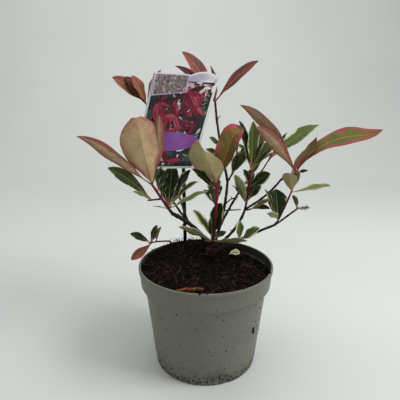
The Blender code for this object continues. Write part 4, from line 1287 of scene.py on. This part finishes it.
def foot_notch(angle):
    """A rounded notch through the foot ring."""
    bm = bmesh.new()
    bmesh.ops.create_cube(bm, size=1)
    bmesh.ops.scale(bm, vec=(FOOT_WIDTH * 3, NOTCH_WIDTH, NOTCH_HEIGHT * 2), verts=bm.verts)
    upper = [edge for edge in bm.edges if all(v.co.z > 0 for v in edge.verts)
             and abs(edge.verts[0].co.y - edge.verts[1].co.y) < MM]
    bmesh.ops.bevel(bm, geom=upper, offset=NOTCH_BEVEL, affect="EDGES", segments=4,
                    profile=0.5, material=-1)
    bmesh.ops.translate(bm, vec=(BASE_RADIUS - FOOT_WIDTH / 2, 0, 0), verts=bm.verts)
    return cutter(bm, angle)


def drain_hole(angle):
    """A hole through the pot's floor."""
    bm = bmesh.new()
    bmesh.ops.create_cone(bm, cap_ends=True, segments=DRAIN_SIDES, radius1=DRAIN_RADIUS,
                          radius2=DRAIN_RADIUS, depth=4 * FLOOR_THICKNESS)
    middle = FOOT_HEIGHT + FLOOR_THICKNESS / 2
    bmesh.ops.translate(bm, vec=(DRAIN_CIRCLE, 0, middle), verts=bm.verts)
    return cutter(bm, angle)


def wall_radius(height):
    """The outside radius of the pot's body or collar at a height."""
    collar_foot = RIM_RADIUS - RIM_LIP - COLLAR_TAPER
    step_height = POT_HEIGHT - COLLAR_DEPTH
    if height < step_height:
        return BASE_RADIUS + (collar_foot - COLLAR_STEP - BASE_RADIUS) * height / step_height
    return collar_foot + COLLAR_TAPER * (height - step_height) / COLLAR_DEPTH


def pot_point(radius, angle, height):
    """A point at a radius and an angle from the pot's axis."""
    return Vector((radius * math.cos(angle), radius * math.sin(angle), height))


def build_pot(settings):
    """The turned pot with its notches and holes, then the crumbs and the fleck on it."""
    bm = bmesh.new()
    spun(bm, pot_profile(), settings.sides)
    pot = keep_piece(bm, "dressed_pot", [plastic_finish(settings)], ["pot"])
    step = math.tau / NOTCH_COUNT
    notches = [foot_notch(step * (index + 0.5)) for index in range(NOTCH_COUNT)]
    holes = [drain_hole(step * index) for index in range(NOTCH_COUNT)]
    cut_with(pot, notches + holes)
    pot.data.shade_smooth()
    pot.data.set_sharp_from_angle(angle=math.radians(POT_SHARP_ANGLE))
    crumbs = bmesh.new()
    rng = random.Random(31)
    for _ in range(settings.crumbs):
        angle = rng.uniform(0, math.tau)
        height = (CRUMB_LOW + CRUMB_SPREAD * rng.random() ** CRUMB_POWER) * MM
        place = pot_point(wall_radius(height), angle, height)
        add_crumb(crumbs, place, rng.uniform(*CRUMB_SIZES) * MM, rng)
    for angle, size in RIM_CRUMBS:
        place = pot_point(RIM_CRUMB_RADIUS, math.radians(angle), POT_HEIGHT + CRUMB_LIFT)
        add_crumb(crumbs, place, size * MM, rng)
    fleck = pot_point(wall_radius(FLECK_HEIGHT) + CRUMB_LIFT, math.radians(FLECK_HEADING), FLECK_HEIGHT)
    add_chip(crumbs, fleck, FLECK_TURN, FLECK_SIZE, 0)
    soil = soil_finish("pot_crumbs", settings.dirt_and_inner_shade, tinted(settings.dirt_and_inner_shade, 0.6))
    keep_piece(crumbs, "pot_dirt", [soil], [], smooth=False)


def add_crumb(whole, place, size, rng, material=0):
    """A clod of twenty faces, squashed and turned at random."""
    bm = bmesh.new()
    bmesh.ops.create_icosphere(bm, subdivisions=1, radius=size)
    stretch = Vector((rng.uniform(0.6, 1.5), rng.uniform(0.6, 1.3), rng.uniform(0.5, 1)))
    turned = Vector((rng.uniform(-1, 1), rng.uniform(-1, 1), rng.uniform(-1, 1))).to_track_quat("Z", "Y")
    for vert in bm.verts:
        rough = 1 + CLOD_ROUGHNESS * noise.noise(vert.co * (1.4 / size) + place * 900)
        shaped = Vector(a * b for a, b in zip(vert.co, stretch)) * rough
        vert.co = place + turned @ shaped
    for face in bm.faces:
        face.material_index = material
    stamp(whole, bm)


def add_fibre(bm, start, heading, rise, length, radius, rng, material=0):
    """A bent fibre of three sides."""
    bend = rng.uniform(*FIBRE_BENDS)
    turn = rng.uniform(*FIBRE_TURNS)
    route = grow(start, heading, rise, length, bend, turn, len(FIBRE_RADII) - 1)
    loft(bm, rings(route, [radius * part for part in FIBRE_RADII], 3), material)


def build_compost(settings):
    """The root ball with a rough top, then clods, fibres, bark chips and pale rootlets."""
    bm = bmesh.new()
    reach = inner_radius(COMPOST_LEVEL) - 0.5 * MM
    foot = FOOT_HEIGHT + FLOOR_THICKNESS + GAP
    step_height = POT_HEIGHT - COLLAR_DEPTH
    profile = [(0, foot)]
    profile += [(inner_radius(height) - 2 * GAP, height) for height in (foot, step_height)]
    profile += [(reach * (COMPOST_RINGS - index) / COMPOST_RINGS, COMPOST_LEVEL)
                for index in range(COMPOST_RINGS + 1)]
    spun(bm, profile, COMPOST_SIDES)
    for vert in bm.verts:
        if vert.co.z > step_height + GAP:
            x, y, _ = vert.co
            clods = noise.fractal(vert.co * 90, 0.9, 2.1, 4) * settings.roughness
            vert.co.z = compost_height(x, y) + min(clods, CLOD_LIMIT)
    peat = soil_finish("peat", settings.peat, tinted(settings.peat, 0.4))
    keep_piece(bm, "dressed_compost", [peat], ["compost"])
    litter = bmesh.new()
    rng = random.Random(32)
    for _ in range(settings.crumbs):
        place = on_compost(*disc_point(rng, reach - 1 * MM), rng.uniform(*CLOD_LIFTS))
        add_crumb(litter, place, rng.uniform(*CLOD_SIZES) * MM, rng, rng.choice(CLOD_KINDS))
    for count, thickness, kinds in ((settings.fibres, FIBRE_THICKNESS, FIBRE_KINDS),
                                    (settings.splinters, SPLINTER_THICKNESS, SPLINTER_KINDS)):
        for _ in range(count):
            place = on_compost(*disc_point(rng, reach - 6 * MM), rng.uniform(*FIBRE_LIFTS))
            add_fibre(litter, place, rng.uniform(0, 360), rng.uniform(*FIBRE_RISES),
                      rng.uniform(*FIBRE_LENGTHS) * MM, rng.uniform(*thickness) * MM,
                      rng, rng.choice(kinds))
    for _ in range(EDGE_FIBRES):
        angle = math.radians(rng.uniform(*EDGE_FIBRE_ARC))
        edge = reach - EDGE_INSET
        place = on_compost(edge * math.cos(angle), edge * math.sin(angle), 0)
        add_fibre(litter, place, rng.uniform(0, 360), rng.uniform(*EDGE_FIBRE_RISES),
                  rng.uniform(*EDGE_FIBRE_LENGTHS) * MM, EDGE_FIBRE_RADIUS, rng, PEAT)
    for index in range(ROOTLETS):
        place = on_compost(*ROOTLET_PLACE, ROOTLET_LIFT)
        add_fibre(litter, place, -150 + 26 * index, 20 - 3 * index,
                  rng.uniform(*ROOTLET_LENGTHS) * MM, ROOTLET_RADIUS, rng, PALE_FIBRE)
    for place, heading, size, kind in CHIPS:
        add_chip(litter, Vector(place) * MM, heading, size, kind)
    finishes = [soil_finish("dark_litter", tinted(settings.peat, 1.8), settings.peat),
                soil_finish("red_litter", settings.red_peat, settings.peat),
                soil_finish("pale_litter", settings.pale_fibre, settings.red_peat),
                soil_finish("bark_chip", settings.chip, settings.red_peat)]
    keep_piece(litter, "compost_litter", finishes, [], smooth=False)


def on_compost(x, y, lift):
    """A point at this many mm over the compost."""
    return Vector((x, y, compost_height(x, y) + lift * MM))


def inner_radius(height):
    """The pot's inner radius: the body's slope, then the collar's."""
    step_height = POT_HEIGHT - COLLAR_DEPTH
    body_top = RIM_RADIUS - RIM_LIP - COLLAR_TAPER - COLLAR_STEP
    if height < step_height:
        return BASE_RADIUS - WALL + (body_top - BASE_RADIUS) * height / step_height
    share = (height - step_height) / COLLAR_DEPTH
    return body_top - WALL + (RIM_RADIUS - RIM_WIDTH - body_top + WALL) * min(share * 3, 1)


def disc_point(rng, reach):
    """A random point of a disc about the pot's axis."""
    angle = rng.uniform(0, math.tau)
    radius = reach * math.sqrt(rng.random())
    return radius * math.cos(angle), radius * math.sin(angle)


def add_chip(whole, place, heading, size, material):
    """A splintered chip of bark, cut from a box in finer cells."""
    bm = bmesh.new()
    bmesh.ops.create_cube(bm, size=1)
    bmesh.ops.subdivide_edges(bm, edges=bm.edges, cuts=5, use_grid_fill=True)
    turned = math.radians(heading)
    for vert in bm.verts:
        x, y, z = (part * length * MM for part, length in zip(vert.co, size))
        slim = 1 - CHIP_TAPER * abs(2 * vert.co.x) ** 2
        y = y * slim + noise.noise(vert.co * 9) * CHIP_ROUGHNESS[0]
        z = z + noise.noise(vert.co * 7 + Vector((3, 1, 2))) * CHIP_ROUGHNESS[1]
        vert.co = place + Vector((x * math.cos(turned) - y * math.sin(turned),
                                  x * math.sin(turned) + y * math.cos(turned), z))
    for face in bm.faces:
        face.material_index = material
    stamp(whole, bm)


def build_label(settings):
    """A white card with a plain printed front, its folded corner, and the ribbed stick."""
    foot, along, middle, across, up, out = card_frame()
    bm = bmesh.new()
    half = out * (CARD_THICKNESS / 2)
    corners = [middle + across * x + up * y for x, y in card_outline()]
    loft(bm, [[corner - half for corner in corners], [corner + half for corner in corners]])
    sections = []
    for one, two, face in flap_rows(middle, across, up, out):
        deep = face * (CARD_THICKNESS / 2)
        sections.append([one - deep, two - deep, two + deep, one + deep])
    loft(bm, sections, 1)
    finishes = [card_finish("white_card", settings.card, tinted(settings.card, 0.93)),
                card_finish("flap_card", tinted(settings.lavender, 0.75), settings.lavender)]
    keep_piece(bm, "label_card", finishes, ["plant_label"])
    build_print(settings, middle, across, up, out)
    build_flap_print(middle, across, up, out)
    build_stick(settings, foot, along, out)


def build_stick(settings, foot, along, out):
    """The tapered stick, as two flutes that cross, with a barb at one side."""
    bm = bmesh.new()
    side = out.cross(along)
    depth = out * (STICK_DEPTH / 2)
    for width, thick in STICK_FLUTES:
        sections = []
        for share in STICK_STATIONS:
            narrow = STICK_END if share in (0, 1) else 1
            wide = side * (STICK_WIDTH * width * (1 - STICK_TAPER * share) * narrow)
            centre = foot + along * (STICK_LENGTH * share)
            deep = depth * thick
            sections.append([centre - wide - deep, centre + wide - deep,
                             centre + wide + deep, centre - wide + deep])
        loft(bm, sections)
    barb = foot + along * BARB_HEIGHT + side * BARB_SIDE
    loft(bm, [[start + along * (up * MM) + depth * deep for up, deep in corners]
              for start, corners in ((barb, BARB_ROOT), (barb + side * BARB_REACH, BARB_TIP))])
    black = Finish("stick_plastic", 0.4, 0.2)
    black.colour(black.mix(black.smooth(black.noise(120, 4), 0.5, 0.75), settings.stick,
                           (0.016, 0.014, 0.012)))
    black.bump(black.noise(1200, 2), 0.15, 0.1 * MM)
    keep_piece(bm, "dressed_stick", [black.material], ["label_stick"], smooth=False)


def flap_rows(middle, across, up, out):
    """The flap's left and right points and its outward way: over the fold, then down in front."""
    inset = CARD_SKEW - CARD_WIDTH / 2 + FLAP_INSET
    start = middle + up * (CARD_HEIGHT - CARD_THICKNESS) + across * inset
    rows = []
    for index in range(FOLD_STEPS + 1):
        turn = math.radians((180 - FLAP_OPEN) * index / FOLD_STEPS)
        way = up * math.cos(turn) + out * math.sin(turn)
        face = out * math.cos(turn) - up * math.sin(turn)
        left = start + out * FOLD_RADIUS - face * FOLD_RADIUS
        rows.append((left, left + across * FLAP_WIDTH, face))
    one, two, face = rows[-1]
    for share in (0.35, 0.7, 1):
        aside = across * (FLAP_SHIFT * share)
        left = one + way * (FLAP_LEFT * share) + aside
        rows.append((left, two + way * (FLAP_RIGHT * share) + aside, face))
    return rows


def add_motif(bm, centre, across, up, out, length, width, angle, material):
    """A flat pointed leaf shape on the card."""
    turned = math.radians(angle)
    way = up * math.cos(turned) + across * math.sin(turned)
    side = across * math.cos(turned) - up * math.sin(turned)
    points = []
    for index in range(SHAPE_CORNERS):
        share = index / SHAPE_CORNERS * math.tau
        pinch = abs(math.sin(share)) ** SHAPE_PINCH * math.copysign(1, math.sin(share))
        points.append(centre + way * (length / 2 * math.cos(share)) + side * (width / 2 * pinch))
    deep = out * SHAPE_HALF_DEPTH
    loft(bm, [[point - deep for point in points], [point + deep for point in points]], material)


def add_shape(bm, place, spot, length, slim, angle, shades, rng):
    """A leaf shape of one shade with an edge and a midrib of others, a layer above the last."""
    x, y = spot
    turned = math.radians(angle)
    for reach in (0, length):
        tip_x, tip_y = x + math.sin(turned) * reach, y + math.cos(turned) * reach
        if not (PICTURE_LEFT < tip_x < PICTURE_RIGHT and PRINT_LOW < tip_y < PICTURE_HIGH):
            return
    origin, across, up, out = place(x + math.sin(turned) * length / 2, y + math.cos(turned) * length / 2)
    origin = origin + out * (SHAPE_LIFT + len(bm.faces) * PRINT_LAYER)
    shade, edge, rib = (rng.choice(group) for group in shades)
    for share, wide, material in ((1, slim, edge), (0.86, slim * 0.78, shade), (0.75, 0.05, rib)):
        origin = origin + out * SHAPE_LAYER
        add_motif(bm, origin, across, up, out, length * share, length * wide, angle, material)


def build_print(settings, middle, across, up, out):
    """A plain design: whorls of leaf shapes on a dark ground, a purple band and a pale head."""
    bm = bmesh.new()
    front = middle + out * (CARD_THICKNESS / 2 + PRINT_CLEARANCE)

    def place(x, y):
        return front + across * (x + CARD_SKEW * y / CARD_HEIGHT) + up * y, across, up, out

    def panel(points, depth, material):
        loft(bm, [[place(x, y)[0] + out * lift for x, y in points] for lift in (0, depth)], material)

    panel([(PICTURE_LEFT, PRINT_LOW), (PICTURE_RIGHT, PRINT_LOW), (PICTURE_RIGHT, PICTURE_HIGH),
           (PICTURE_LEFT, PICTURE_HIGH)], PANEL_DEPTH, GROUND)
    right = CARD_WIDTH / 2 - HEAD_MARGIN
    top = CARD_HEIGHT - HEAD_MARGIN
    head = [(PICTURE_LEFT, PICTURE_HIGH), (right, PICTURE_HIGH)]
    for index in range(HEAD_STEPS + 1):
        share = index / HEAD_STEPS
        head.append((right - HEAD_ARCH_WIDTH * share, top + CARD_ARCH * math.sin(math.pi * share)))
    panel(head + [(PICTURE_LEFT, top)], PANEL_DEPTH, HEAD)
    rng = random.Random(33)
    for _ in range(GROUND_SHAPES):
        spot = rng.uniform(PICTURE_LEFT, PICTURE_RIGHT), rng.uniform(PRINT_LOW, PICTURE_HIGH)
        add_shape(bm, place, spot, rng.uniform(*GROUND_LENGTHS) * MM, rng.uniform(*SHAPE_WIDTHS),
                  rng.uniform(0, 360), GROUND_SHADES, rng)
    for _ in range(PALE_SHAPES):
        spot = rng.uniform(0, PICTURE_RIGHT), PICTURE_HIGH - abs(rng.gauss(0, PALE_SPREAD))
        add_shape(bm, place, spot, rng.uniform(*PALE_LENGTHS) * MM, rng.uniform(*PALE_WIDTHS),
                  rng.uniform(0, 360), PALE_SHADES, rng)
    for x, y, leaves, turn in WHORLS:
        for index in range(leaves):
            angle = turn + 360 / leaves * index + rng.uniform(-WHORL_PLAY, WHORL_PLAY)
            add_shape(bm, place, (x * MM, y * MM), rng.uniform(*WHORL_LENGTHS) * MM,
                      rng.uniform(*SHAPE_WIDTHS), angle, WHORL_SHADES, rng)
    band = [(PICTURE_LEFT, BAND_MIDDLE - BAND_HALF)]
    for index in range(BAND_STEPS + 1):
        turned = math.pi * index / BAND_STEPS
        x = PICTURE_RIGHT - BAND_ROUND + BAND_ROUND * math.sin(turned)
        band.append((x, BAND_MIDDLE - BAND_HALF * math.cos(turned)))
    band.append((PICTURE_LEFT, BAND_MIDDLE + BAND_HALF))
    panel(band, BAND_DEPTH, BAND)
    shades = {
        "print_ground": (settings.ground, tinted(settings.ground, 2)),
        "print_head": (settings.lavender, settings.card),
        "print_band": (settings.purple, tinted(settings.purple, 1.25)),
        "print_crimson": (settings.crimson, tinted(settings.crimson, 0.45)),
        "print_teal": (settings.teal, tinted(settings.teal, 0.4)),
        "print_cream": ((0.62, 0.55, 0.50), settings.card),
        "print_rose": ((0.50, 0.10, 0.14), settings.crimson),
        "print_green": ((0.10, 0.14, 0.06), settings.teal),
        "print_maroon": (tinted(settings.crimson, 0.35), settings.ground),
    }
    finishes = [card_finish(name, *pair) for name, pair in shades.items()]
    keep_piece(bm, "label_print", finishes, [], smooth=False)


def build_flap_print(middle, across, up, out):
    """A speckled print on the back of the folded corner, which stops short of its end."""
    bm = bmesh.new()
    sections = []
    first, last = FLAP_PRINT_SIDES
    for one, two, face in flap_rows(middle, across, up, out)[-4:]:
        deep = -face * (CARD_THICKNESS / 2 + PRINT_CLEARANCE)
        left = one.lerp(two, first) + deep
        right = one.lerp(two, last) + deep
        sections.append([left, right, right - face * PANEL_DEPTH, left - face * PANEL_DEPTH])
    for corner in range(4):
        sections[-1][corner] = sections[-2][corner].lerp(sections[-1][corner], FLAP_PRINT_END)
    loft(bm, sections)
    back = Finish("flap_print", 0.35, 0.2)
    back.colour(back.ramp(back.noise(380, 4), [(0.36, (0.05, 0.08, 0.07)), (0.46, (0.15, 0.17, 0.15)),
                                               (0.55, (0.25, 0.10, 0.12)), (0.64, (0.42, 0.38, 0.40))]))
    keep_piece(bm, "flap_print", [back.material], [], smooth=False)


def add_stem(whole, route, radii, ages, settings, sides=TUBE_SIDES):
    """A stem with bark relief, and swollen rings where its old leaves stood."""
    length = (route[1] - route[0]).length * (len(route) - 1)
    shaped = []
    for index, centre in enumerate(route):
        along = length * index / (len(route) - 1)
        from_node = along % settings.node_spacing - settings.node_spacing / 2
        ring = math.exp(-(from_node / NODE_HALF) ** 2)
        shaped.append(radii[index] * (1 + NODE_SWELL * ring + noise.noise(centre * 260) * settings.relief))
    sections = rings(route, shaped, sides)
    for centre, section in zip(route, sections):
        for corner, point in enumerate(section):
            grain = noise.noise(point * 700) * settings.relief * 0.6
            section[corner] = point + (point - centre) * grain
    loft(whole, sections, 0, spread_ages(*ages, len(route)))


def spread_ages(first, last, count):
    """Ages that run evenly from a stem's foot to its tip."""
    return [first + (last - first) * index / (count - 1) for index in range(count)]


def joined_route(item, routes, route):
    """A child's route, carried back into the limb that it grows from."""
    if item.parent is None:
        return route
    return [point_at(routes[item.parent], min(item.at, TIP_SHARE))] + route


def even_radii(thick, thin, count):
    """Radii given in mm that run evenly from thick to thin."""
    return [(thick + (thin - thick) * index / (count - 1)) * MM for index in range(count)]


def resample(route, steps):
    """The route in this many even steps."""
    return [point_at(route, index / steps) for index in range(steps + 1)]


def smooth_joint(route):
    """Soften the corner at a stem's foot."""
    for _ in range(2):
        for index in range(1, min(5, len(route) - 1)):
            route[index] = (route[index - 1] + route[index] * 2 + route[index + 1]) / 4
    return route


def build_boughs(settings, bark, routes):
    """The trunk with its flare and its burl, the boughs, and the dead spurs on them."""
    bm = bmesh.new()
    for limb in LIMBS:
        cells = int(limb.length / STEM_CELL) + 8
        route = smooth_joint(resample(joined_route(limb, routes, routes[limb.name]), cells))
        radii = even_radii(limb.thick, limb.thin, len(route))
        if limb.parent is None:
            for index in range(len(radii)):
                left = 1 - index / (len(radii) - 1)
                radii[index] *= 1 + (TRUNK_FLARE - 1) * left ** FLARE_POWER
        add_stem(bm, route, radii, LIMB_AGES.get(limb.name, OLD_AGES), settings)
        if limb.name == "trunk":
            burl = [route[-1] + Vector((0, 0, level * MM)) for level in BURL_LEVELS]
            steps = len(BURL_RADII) - 1
            add_stem(bm, resample(burl, steps), [part * MM for part in BURL_RADII], BURL_AGES, settings, 12)
    for name, at, heading, rise, length in SPURS:
        spur = grow(point_at(routes[name], at), heading, rise, length * MM, 10, 0, 5)
        add_stem(bm, spur, even_radii(0.7, 0.4, len(spur)), DEAD_AGES, settings, 6)
    keep_piece(bm, "bark_of_boughs", [bark], [limb.name for limb in LIMBS])


def build_twigs(settings, routes, stems):
    """The shoots' stems and side twigs with their buds, to which the petioles are added."""
    bm = bmesh.new()
    for mass in MASSES:
        for index, twig in enumerate(stems[mass.name]):
            if index == 0:
                thick, thin = mass.thick, mass.thin
                route = joined_route(mass, routes, twig)
            else:
                thick, thin = mass.thin * SIDE_TWIG_SHARE, mass.thin * SIDE_TIP_SHARE
                route = list(twig)
            cells = int((route[1] - route[0]).length * len(route) / (STEM_CELL * MM))
            route = resample(route, max(6, cells))
            if index == 0:
                route = smooth_joint(route)
            add_stem(bm, route, even_radii(thick, thin, len(route)), mass.ages, settings)
            way = (route[-1] - route[-2]).normalized()
            bud = [route[-1] - way * (1 * MM) + way * (BUD_STEP * step) for step in range(len(BUD_RADII))]
            add_stem(bm, bud, [part * MM for part in BUD_RADII], BUD_AGES, settings, 8)
    return bm


def add_petiole(bm, leaf):
    """The petiole, carried on as a rib under the blade."""
    midrib = midrib_of(leaf)
    first, last = YOUNG_RIB_AGES if leaf.look.ripe < YOUNG_BELOW else RIPE_RIB_AGES
    thick = RIB_THICK[leaf.length > LARGE_LEAF]
    route = []
    radii = []
    ages = []
    for index in range(RIB_STEPS + 1):
        share = RIB_END * index / RIB_STEPS
        _, _, face = leaf_frame(leaf, share, leaf.look.hook)
        sink = smooth_share(share, PETIOLE * 0.6, PETIOLE * 1.5)
        route.append(point_at(midrib, share) - face * (RIB_SINK * sink))
        radii.append(thick * (1 - RIB_TAPER * share / RIB_END))
        ages.append(first + (last - first) * smooth_share(share, 0.08, 0.5))
    loft(bm, rings(route, radii, RIB_SIDES), 0, ages)


def add_blade(whole, leaf, settings, rng):
    """One leaf as a curved sheet of cells; its thickness is added to the whole piece."""
    large = leaf.length > LARGE_LEAF
    rows = settings.rows if large else settings.rows * 2 // 3
    columns = settings.columns if large else settings.columns * 4 // 7 // 2 * 2
    midrib = midrib_of(leaf)
    phase = rng.random()
    shade = min(max(leaf.look.shade + rng.uniform(-SHADE_PLAY, SHADE_PLAY), 0), 1)
    bm = bmesh.new()
    bm.loops.layers.uv.new("leaf")
    tone = bm.verts.layers.float_vector.new("tone")
    rim = bm.verts.layers.float.new("rim")
    bmesh.ops.create_grid(bm, x_segments=rows, y_segments=columns, size=0.5, calc_uvs=True)
    for vert in bm.verts:
        vert[tone] = (leaf.look.ripe, leaf.look.blush, shade)
        vert[rim] = leaf.look.rim
        vert.co = blade_point(leaf, midrib, vert.co.x + 0.5, vert.co.y * 2, phase)
    stamp(whole, bm)


def fallen_leaf():
    """The pale curled leaf that lies on the compost to the right of the stems."""
    base = on_compost(*FALLEN_PLACE, FALLEN_LIFT)
    return Leaf(base, 8, 4, 17 * MM, 9 * MM, 60, 35, LOOKS["fallen"])


def build_plant(settings, stem_settings):
    """Boughs and shoots, their petioles, and the young and ripe leaves as two pieces."""
    bark = stem_finish(stem_settings)
    routes, stems = plan_routes()
    build_boughs(stem_settings, bark, routes)
    twigs = build_twigs(stem_settings, routes, stems)
    placed = plan_leaves(routes, stems)
    leaves = {"young_leaves": [], "ripe_leaves": [fallen_leaf()]}
    owners = {"young_leaves": [], "ripe_leaves": []}
    for mass in MASSES:
        grown = placed[mass.name]
        young = [leaf for leaf in grown if leaf.look.ripe < YOUNG_BELOW]
        owners["young_leaves" if len(young) * 2 > len(grown) else "ripe_leaves"].append(mass.name)
        leaves["young_leaves"] += young
        leaves["ripe_leaves"] += [leaf for leaf in grown if leaf not in young]
        for leaf in grown:
            add_petiole(twigs, leaf)
    keep_piece(twigs, "twigs_and_petioles", [bark], [mass.name for mass in MASSES])
    faces = [leaf_finish("leaf_upper", settings, True), leaf_finish("leaf_under", settings, False)]
    rng = random.Random(34)
    for name, slot in (("young_leaves", "new_leaves"), ("ripe_leaves", "old_leaves")):
        bm = bmesh.new()
        for leaf in leaves[name]:
            add_blade(bm, leaf, settings, rng)
        piece = keep_piece(bm, name, faces, owners[name])
        thick = piece.modifiers.new("thickness", "SOLIDIFY")
        thick.thickness = settings.thickness
        thick.offset = -1
        thick.material_offset = 1
        thick.material_offset_rim = 1
        apply_modifiers(piece)
        piece.data.shade_smooth()
        piece.data.set_sharp_from_angle(angle=math.radians(LEAF_SHARP_ANGLE))


def build_cove(settings):
    """A pale floor that curves up into a wall."""
    bm = bmesh.new()
    profile = [(-COVE_HALF, 0), (COVE_START, 0)]
    for index in range(1, COVE_STEPS + 1):
        angle = math.pi / 2 * index / COVE_STEPS
        reach = COVE_START + COVE_RADIUS * math.sin(angle)
        profile.append((reach, COVE_RADIUS - COVE_RADIUS * math.cos(angle)))
    profile.append((COVE_START + COVE_RADIUS, COVE_TOP))
    verts = [bm.verts.new((-COVE_HALF, y, z)) for y, z in profile]
    edges = [bm.edges.new(pair) for pair in zip(verts, verts[1:])]
    grown = bmesh.ops.extrude_edge_only(bm, edges=edges)["geom"]
    moved = [item for item in grown if isinstance(item, bmesh.types.BMVert)]
    bmesh.ops.translate(bm, vec=(2 * COVE_HALF, 0, 0), verts=moved)
    bmesh.ops.recalc_face_normals(bm, faces=bm.faces)
    mesh = bpy.data.meshes.new("cove")
    bm.to_mesh(mesh)
    bm.free()
    mesh.shade_smooth()
    cove = bpy.data.objects.new("cove", mesh)
    bpy.context.scene.collection.objects.link(cove)
    finish = Finish("pale_cove", 0.7)
    finish.colour(finish.mix(finish.smooth(finish.noise(3, 2), 0.3, 0.7), settings.floor,
                             tinted(settings.floor, 0.97)))
    mesh.materials.append(finish.material)


def add_light(name, power, size, place, aim):
    """A square, soft light that points at its aim."""
    light = bpy.data.lights.new(name, "AREA")
    light.energy = power
    light.size = size
    lamp = bpy.data.objects.new(name, light)
    lamp.location = place
    lamp.rotation_euler = (Vector(aim) - Vector(place)).to_track_quat("-Z", "Y").to_euler()
    bpy.context.scene.collection.objects.link(lamp)


def build_stage(settings):
    """The cove, soft light from the right, and the photo's camera."""
    build_cove(settings)
    world = bpy.data.worlds.new("studio")
    world.use_nodes = True
    world.node_tree.nodes["Background"].inputs["Color"].default_value = (*settings.sky, 1)
    bpy.context.scene.world = world
    add_light("key", settings.key_power, 0.6, (0.9, -0.3, 1.1), PLANT_MIDDLE)
    add_light("fill", settings.fill_power, 1.2, (-0.9, -0.9, 0.8), PLANT_MIDDLE)
    add_light("wall", settings.wall_power, 1.5, (-0.3, 0.5, 1.6), WALL_MIDDLE)
    view = bpy.data.cameras.new("camera")
    view.lens = settings.lens
    view.sensor_width = SENSOR_WIDTH
    camera = bpy.data.objects.new("camera", view)
    camera.location = CAMERA_PLACE
    camera.rotation_euler = (math.radians(90) - settings.pitch, 0, 0)
    bpy.context.scene.collection.objects.link(camera)
    bpy.context.scene.camera = camera
    bpy.context.scene.view_settings.view_transform = "Standard"


# Operators, panel and registration

class PHOTINIA_OT_pot(bpy.types.Operator):
    """Build the grower's pot and the crumbs that stick to it"""
    bl_idname = "photinia.pot"
    bl_label = "Pot"

    def execute(self, context):
        build_pot(context.scene.photinia_pot)
        return {"FINISHED"}


class PHOTINIA_OT_compost(bpy.types.Operator):
    """Build the compost and the litter that lies on it"""
    bl_idname = "photinia.compost"
    bl_label = "Compost"

    def execute(self, context):
        build_compost(context.scene.photinia_compost)
        return {"FINISHED"}


class PHOTINIA_OT_label(bpy.types.Operator):
    """Build the label with its plain design and the stick that carries it"""
    bl_idname = "photinia.label"
    bl_label = "Label"

    def execute(self, context):
        build_label(context.scene.photinia_label)
        return {"FINISHED"}


class PHOTINIA_OT_plant(bpy.types.Operator):
    """Build the trunk, boughs, shoots, petioles and leaves"""
    bl_idname = "photinia.plant"
    bl_label = "Plant"

    def execute(self, context):
        build_plant(context.scene.photinia_leaves, context.scene.photinia_stems)
        return {"FINISHED"}


class PHOTINIA_OT_stage(bpy.types.Operator):
    """Set up the floor, the light and the camera"""
    bl_idname = "photinia.stage"
    bl_label = "Stage"

    def execute(self, context):
        build_stage(context.scene.photinia_stage)
        return {"FINISHED"}


OPERATORS = (PHOTINIA_OT_pot, PHOTINIA_OT_compost, PHOTINIA_OT_label, PHOTINIA_OT_plant, PHOTINIA_OT_stage)


class PHOTINIA_PT_panel(bpy.types.Panel):
    """Lists the plant's settings and the operators that build it"""
    bl_idname = "PHOTINIA_PT_panel"
    bl_label = "Potted photinia"
    bl_space_type = "VIEW_3D"
    bl_region_type = "UI"
    bl_category = "Photinia"

    def draw(self, context):
        layout = self.layout
        for operator in OPERATORS:
            layout.operator(operator.bl_idname)
        for name, group in SETTINGS.items():
            box = layout.box()
            box.label(text=group.__doc__)
            for field in group.__annotations__:
                box.prop(getattr(context.scene, name), field)


def register():
    for name, group in SETTINGS.items():
        bpy.utils.register_class(group)
        setattr(bpy.types.Scene, name, PointerProperty(type=group))
    for operator in OPERATORS:
        bpy.utils.register_class(operator)
    bpy.utils.register_class(PHOTINIA_PT_panel)


def unregister():
    bpy.utils.unregister_class(PHOTINIA_PT_panel)
    for operator in reversed(OPERATORS):
        bpy.utils.unregister_class(operator)
    for name, group in SETTINGS.items():
        delattr(bpy.types.Scene, name)
        bpy.utils.unregister_class(group)


def main():
    register()
    bpy.ops.photinia.pot()
    bpy.ops.photinia.compost()
    bpy.ops.photinia.label()
    bpy.ops.photinia.plant()
    bpy.ops.photinia.stage()


if __name__ == "__main__":
    main()
